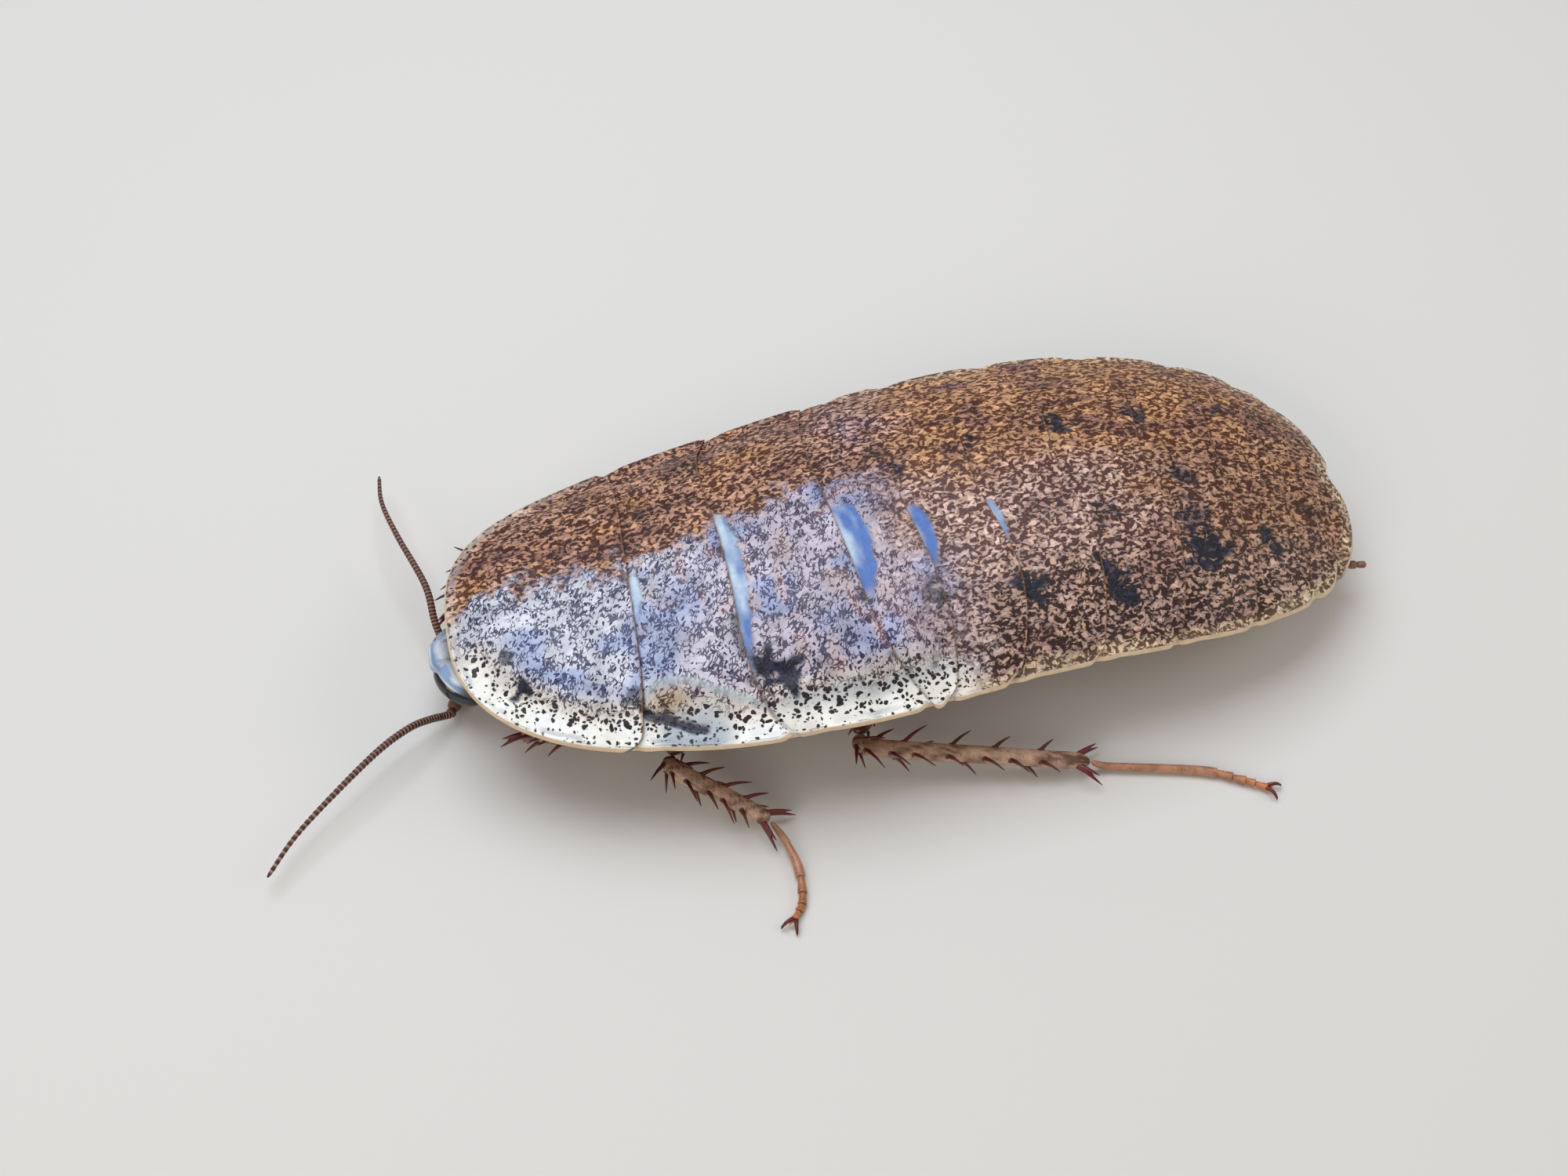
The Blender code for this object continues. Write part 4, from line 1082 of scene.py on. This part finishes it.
# The legs: where each joint lies, as in the solids
COXAE = {
    "fore": [(3.9, 3.0, 2.4), (4.9, 2.4, 2.35), (5.9, 1.75, 2.35)],
    "mid": [(7.5, 4.2, 2.6), (9.0, 3.0, 2.6), (10.5, 1.9, 2.6)],
    "hind": [(11.2, 4.5, 2.72), (12.9, 3.3, 2.72), (14.6, 2.05, 2.72)],
}
LEGS = {
    "fore_left": {
        "femur": [(6.2, 1.4, 1.05), (4.9, 2.3, 1.05), (3.6, 3.1, 1.3)],
        "tibia": [(3.1, 3.1, 1.4), (2.45, 2.75, 1.25), (1.85, 2.35, 1.05)],
        "tarsus": [(1.8, 2.15, 0.4), (2.3, 2.1, 0.26), (3.1, 2.15, 0.24), (3.8, 2.2, 0.24)],
    },
    "fore_right": {
        "femur": [(6.2, -1.7, 1.05), (3.9, -3.6, 1.05), (1.75, -4.95, 1.3)],
        "tibia": [(1.2, -4.8, 1.4), (0.7, -4.05, 1.25), (0.3, -3.2, 1.05)],
        "tarsus": [(0.25, -2.95, 0.4), (0.75, -2.9, 0.26), (1.6, -3.1, 0.24), (2.3, -3.3, 0.24)],
    },
    "mid_left": {
        "femur": [(10.9, 1.6, 1.2), (8.5, 3.2, 1.25), (6.4, 4.75, 1.6)],
        "tibia": [(6.5, 5.35, 1.5), (7.8, 6.4, 1.1), (9.2, 7.5, 0.62)],
        "tarsus": [(9.55, 8.15, 0.3), (9.75, 9.2, 0.24), (9.6, 10.4, 0.24), (9.2, 11.0, 0.24)],
    },
    "mid_right": {
        "femur": [(10.9, -1.6, 1.2), (8.8, -3.3, 1.25), (6.9, -4.9, 1.6)],
        "tibia": [(7.15, -5.45, 1.5), (8.4, -6.2, 1.1), (9.9, -7.0, 0.62)],
        "tarsus": [(10.35, -7.35, 0.3), (11.3, -8.0, 0.24), (12.4, -8.6, 0.24), (13.0, -9.0, 0.24)],
    },
    "hind_left": {
        "femur": [(15.05, 1.7, 1.2), (13.9, 3.7, 1.25), (12.7, 5.6, 1.7)],
        "tibia": [(13.0, 6.2, 1.65), (16.6, 7.1, 1.15), (20.2, 7.95, 0.62)],
        "tarsus": [(20.7, 8.05, 0.3), (23.8, 8.95, 0.24), (25.0, 9.6, 0.24), (25.75, 10.1, 0.24)],
    },
    "hind_right": {
        "femur": [(15.05, -1.7, 1.2), (13.9, -3.6, 1.25), (12.6, -5.3, 1.7)],
        "tibia": [(12.9, -5.9, 1.65), (16.3, -6.8, 1.15), (19.8, -7.5, 0.62)],
        "tarsus": [(20.3, -7.6, 0.3), (23.3, -8.2, 0.24), (24.5, -8.6, 0.24), (25.3, -8.9, 0.24)],
    },
}
COXA_WIDTH = {"fore": 0.85, "mid": 1.0, "hind": 1.15}
COXA_HALF_HIGH = 0.5
FEMUR_HALF = (0.47, 0.36)
FEMUR_SPINES = 5
TIBIA_HALF = 0.27
TIBIA_STEPS = 100           # points along a tibia where its spines may stand
SPINE_LONG = {"fore": 0.85, "mid": 1.0, "hind": 1.0}
SPINE_ROWS = {"fore": (4, 3), "mid": (5, 6), "hind": (6, 8)}
SPINE_TIERS = ((0, 0.12), (1, -0.16))            # upper and lower row, and how high each stands
END_SPINES = ((0.35, 1.0), (-0.4, 1.25), (0.0, 0.8))        # how steep and how long
LOWEST_TIP = 0.06
FOOT_JOINTS = (0.0, 0.42, 0.58, 0.72, 0.84, 1.0)
FOOT_SHARES = (1.05, 1.0, 0.96, 0.92, 0.78)      # of FOOT_HALF, joint by joint
FOOT_HALF = 0.155
FOOT_FLOOR = 0.004
# Points of a claw from the foot's end: ahead, to the side and up
CLAW = ((-0.1, 0, 0), (0.22, 0.16, 0.1), (0.40, 0.26, -0.02), (0.44, 0.28, -0.13))
LEG_TAN = srgb(196, 158, 132)
LEG_DARK = srgb(92, 50, 30)
SPINE_RED = srgb(104, 26, 20)
FOOT_PINK = srgb(186, 136, 108)
FOOT_AMBER = srgb(186, 112, 58)
PAD_PINK = mix(FOOT_PINK, CREAM, 0.4)


def make_coxa(name, pair, route):
    def size(t):
        return COXA_WIDTH[pair] * blunt(t, 3.5) * mix(1.0, 0.72, t), COXA_HALF_HIGH * blunt(t, 5)
    points, faces = tube(route, size, 40, 36, 0.8)
    ridge = 0.04 * np.sin(points[:, 0] * 6 + points[:, 1] * 6)
    points[:, 2] += ridge * ease(points[:, 2], 2.3, 2.0)
    shade = clouds(points[:, 0], points[:, 1], 0.6, 41)
    build = Build()
    build.add(points, faces, paint(HONEY, BROWN, shade * 0.8))
    build.finish("coxa_skin_" + name, BELLY, "leg_cuticle", ["coxa_" + name])


def share_along(points, ends):
    return np.linalg.norm(points - ends[0], axis=1) / np.linalg.norm(ends[-1] - ends[0])


def make_femur(name, route, coxa_end):
    hip = bent(coxa_end) * (-1, 1, 1) - (0, 0, 0.15)
    build = Build()
    build.add(*tube([hip, mix(hip, route[0], 0.5), route[0], mix(route[0], route[1], 0.3)],
                    lambda t: (0.34 * blunt(t, 5), 0.32 * blunt(t, 5)), 26, 20),
              mix(LEG_TAN, LEG_DARK, 0.5))

    def size(t):
        belly = mix(0.72, 1.0, np.sin(np.pi * np.clip(t * 1.1, 0, 1)) ** 0.7) * blunt(t, 9)
        return FEMUR_HALF[0] * belly, FEMUR_HALF[1] * belly
    points, faces = tube(route, size, 44, 28, 0.85)
    shade = hump(share_along(points, route), 1.0, 0.12)
    shade = shade + 0.3 * clouds(points[:, 0], points[:, 1], 0.5, 42)
    build.add(points, faces, paint(LEG_TAN, LEG_DARK, np.clip(shade, 0, 1)))
    centre = spline(route, np.linspace(0, 1, 60))
    ahead, across, _ = frames(centre)
    for side in (1, -1):
        for i in range(18, 18 + FEMUR_SPINES * 9, 9):
            root = centre[i] + across[i] * side * 0.26 - (0, 0, 0.22)
            tip = root + ahead[i] * 0.28 + across[i] * side * 0.1 - (0, 0, 0.22)
            build.add(*thorn(root, tip, 0.05, 0.0), SPINE_RED)
    build.finish("femur_skin_" + name, LEG, "leg_cuticle", ["femur_" + name], unbent)


def make_tibia(name, pair, route, knee, seed):
    draw = np.random.default_rng(seed)
    whole = np.concatenate([[mix(knee, route[0], 0.2)], route])

    def size(t):
        thick = TIBIA_HALF * blunt(t, 16) * mix(0.72, 1.12, ease(t, 0.0, 0.35)) * mix(1.0, 0.92, t)
        thick = thick * (1 + 0.10 * hump(t, 0.97, 0.05))
        return thick, thick * 0.9
    points, faces = tube(whole, size, 64, 20, 0.72)
    share = share_along(points, whole)
    streak = ease(clouds(share * 14, points[:, 1] * 9, 1.0, 43), 0.42, 0.72)
    shade = 0.8 * streak + 0.7 * hump(share, 0.0, 0.1) + 0.5 * hump(share, 1.0, 0.05)
    build = Build()
    build.add(points, faces, paint(LEG_TAN, LEG_DARK, np.clip(shade, 0, 1)))
    centre = spline(whole, np.linspace(0, 1, TIBIA_STEPS))
    ahead, across, up = frames(centre)

    def spine(root, reach, thick, sag, tone):
        tip = root + reach
        tip[2] = max(tip[2], LOWEST_TIP)
        build.add(*thorn(root, tip, thick, sag), tone)

    for row, side in enumerate((1, -1)):
        count = SPINE_ROWS[pair][row if name.endswith("left") else 1 - row]
        for k in range(count):
            for tier, height in SPINE_TIERS:
                if tier and k % 2:
                    continue
                i = int(TIBIA_STEPS * (0.2 + 0.72 * (k + 0.35 * tier + 0.3 * draw.random()) / count))
                slope = draw.uniform(0.9, 1.5)
                steep = height * 3 + 0.2 * (draw.random() - 0.5)
                way = unit(ahead[i] * slope + across[i] * side + up[i] * steep)
                reach = SPINE_LONG[pair] * draw.uniform(0.62, 1.05) * (1 - 0.25 * tier) + 0.1
                root = centre[i] + across[i] * side * TIBIA_HALF * 0.55 + up[i] * height * 0.8
                thick = draw.uniform(0.058, 0.078)
                spine(root, way * reach, thick, 0.10, mix(SPINE_RED, SPINE_RED * 0.55, draw.random()))
                build.add(*tube([root, root + way * 0.16], lambda t: (0.115 * blunt(t, 3),) * 2, 8, 10,
                                smooth=False), LEG_DARK)
    last = TIBIA_STEPS - 6
    for side in (1, -1):
        for steep, long in END_SPINES:
            way = unit(ahead[last] * 1.25 + across[last] * side * 0.8 + up[last] * steep * 0.8)
            spine(centre[last] + across[last] * side * 0.12, way * SPINE_LONG[pair] * long * 0.95,
                  0.10, 0.05, SPINE_RED)
    build.finish("tibia_skin_" + name, LEG, "leg_cuticle", ["tibia_" + name], unbent)


def make_foot(name, route, shin_end):
    route[:, 2] = np.where(route[:, 2] > 0.27, 0.3, FOOT_HALF + 0.03)
    build = Build()

    def rest(points, faces, tone):
        # Adds a piece that may press against the floor
        points[:, 2] = np.maximum(points[:, 2], FOOT_FLOOR)
        build.add(points, faces, tone)

    for i, (start, stop) in enumerate(zip(FOOT_JOINTS, FOOT_JOINTS[1:])):
        piece = spline(route, np.linspace(start, stop, 6))
        if i == 0:
            piece = np.concatenate([[mix(shin_end, route[0], 0.1)], piece])
        piece = np.concatenate([piece, [piece[-1] + (piece[-1] - piece[-2]) * 0.25]])

        def size(t):
            flare = mix(0.80, 1.08, ease(t, 0.2, 0.95)) * blunt(t, 10)
            return (FOOT_HALF * FOOT_SHARES[i] * flare,) * 2
        tone = mix(FOOT_PINK, FOOT_AMBER, (start + stop) / 2)
        rest(*tube(piece, size, 30 if i == 0 else 16, 14, 0.9), tone)
        if i < len(FOOT_SHARES) - 1:
            points, faces = ball(3)
            rest(points * (0.13, 0.12, 0.07) + piece[-2] - (0, 0, 0.08), faces, PAD_PINK)
    end = route[-1]
    ahead = unit(end - spline(route, [0.9])[0])
    across = unit(np.cross(ahead, (0, 0, 1)))
    for side in (1, -1):
        claw = [end + ahead * long + across * side * wide + (0, 0, high) for long, wide, high in CLAW]
        rest(*tube(claw, lambda t: (0.07 * (1 - t) ** 0.7 + 0.01,) * 2, 16, 10, smooth=False),
             SPINE_RED)
    points, faces = ball(4)
    rest(points * (0.13, 0.11, 0.06) + end + ahead * 0.17 - (0, 0, 0.06), faces,
         mix(FOOT_PINK, CREAM, 0.5))
    build.finish("foot_" + name, LEG, "leg_cuticle", ["tarsus_" + name], unbent)


def make_legs():
    for seed, (name, joints) in enumerate(LEGS.items()):
        pair, side = name.split("_")
        coxa = np.array(COXAE[pair]) * (1, SIDES[side], 1)
        femur, tibia, tarsus = [np.array(joints[part]) for part in ("femur", "tibia", "tarsus")]
        make_coxa(name, pair, coxa)
        make_femur(name, femur, coxa[-1])
        make_tibia(name, pair, tibia, femur[-1], seed)
        make_foot(name, tarsus, tibia[-1])


# The floor, the light and the camera, whose angles are in radians
CAMERA_AZIMUTH = 0.2172
CAMERA_HEIGHT = 0.9351
CAMERA_ROLL = -0.0253
CAMERA_PLACE = (-3.233, 37.648, 55.171)
SENSOR = 36                  # width of the camera's sensor
FOCAL_SHARE = 2394 / 2000    # focal length as a share of the picture's width
# Soft boxes: name, place and size in metres, watts and colour
LAMPS = [("sky_box", (0.015, -0.045, 0.13), 0.11, 0.125, (0.84, 0.91, 1.0)),
         ("side_box", (0.10, 0.10, 0.09), 0.08, 0.060, (1.0, 0.93, 0.84)),
         ("tail_box", (-0.13, 0.02, 0.10), 0.07, 0.035, (1.0, 0.93, 0.85))]


def set_stage():
    bm = bmesh.new()
    bmesh.ops.create_grid(bm, x_segments=2, y_segments=2, size=0.6)
    mesh = bpy.data.meshes.new("floor")
    bm.to_mesh(mesh)
    bm.free()
    floor = bpy.data.objects.new("floor", mesh)
    SCENE.collection.objects.link(floor)
    pale = Recipe("pale_floor")
    mesh.materials.append(pale.finish((0.80, 0.78, 0.75, 1.0), 0.75))

    world = bpy.data.worlds.new("studio")
    world.use_nodes = True
    background = world.node_tree.nodes["Background"].inputs
    background["Color"].default_value = (1.0, 0.97, 0.93, 1.0)
    background["Strength"].default_value = 0.30
    SCENE.world = world
    SCENE.view_settings.view_transform = "Standard"

    for name, place, size, power, colour in LAMPS:
        light = bpy.data.lights.new(name, "AREA")
        light.size = size
        light.energy = power
        light.color = colour
        lamp = bpy.data.objects.new(name, light)
        lamp.location = place
        lamp.rotation_euler = Vector(place).to_track_quat("Z", "Y").to_euler()
        SCENE.collection.objects.link(lamp)


def set_camera():
    back = np.array([np.sin(CAMERA_AZIMUTH) * np.cos(CAMERA_HEIGHT),
                     np.cos(CAMERA_AZIMUTH) * np.cos(CAMERA_HEIGHT), np.sin(CAMERA_HEIGHT)])
    level = unit(np.cross(-back, (0, 0, 1)))
    rise = np.cross(back, level)
    right = np.cos(CAMERA_ROLL) * level + np.sin(CAMERA_ROLL) * rise
    up = np.cross(back, right)
    lens = bpy.data.cameras.new("camera")
    lens.sensor_fit = "HORIZONTAL"
    lens.sensor_width = SENSOR
    lens.lens = SENSOR * FOCAL_SHARE
    lens.clip_start = 0.001
    camera = bpy.data.objects.new("camera", lens)
    SCENE.collection.objects.link(camera)
    turn = Matrix((right, up, back)).transposed().to_4x4()
    place = (np.array(CAMERA_PLACE) + SHIFT) * MM
    camera.matrix_world = Matrix.Translation(Vector(place)) @ turn
    SCENE.camera = camera


set_stage()
set_camera()
make_back()
make_belly()
make_head()
make_feelers()
make_legs()
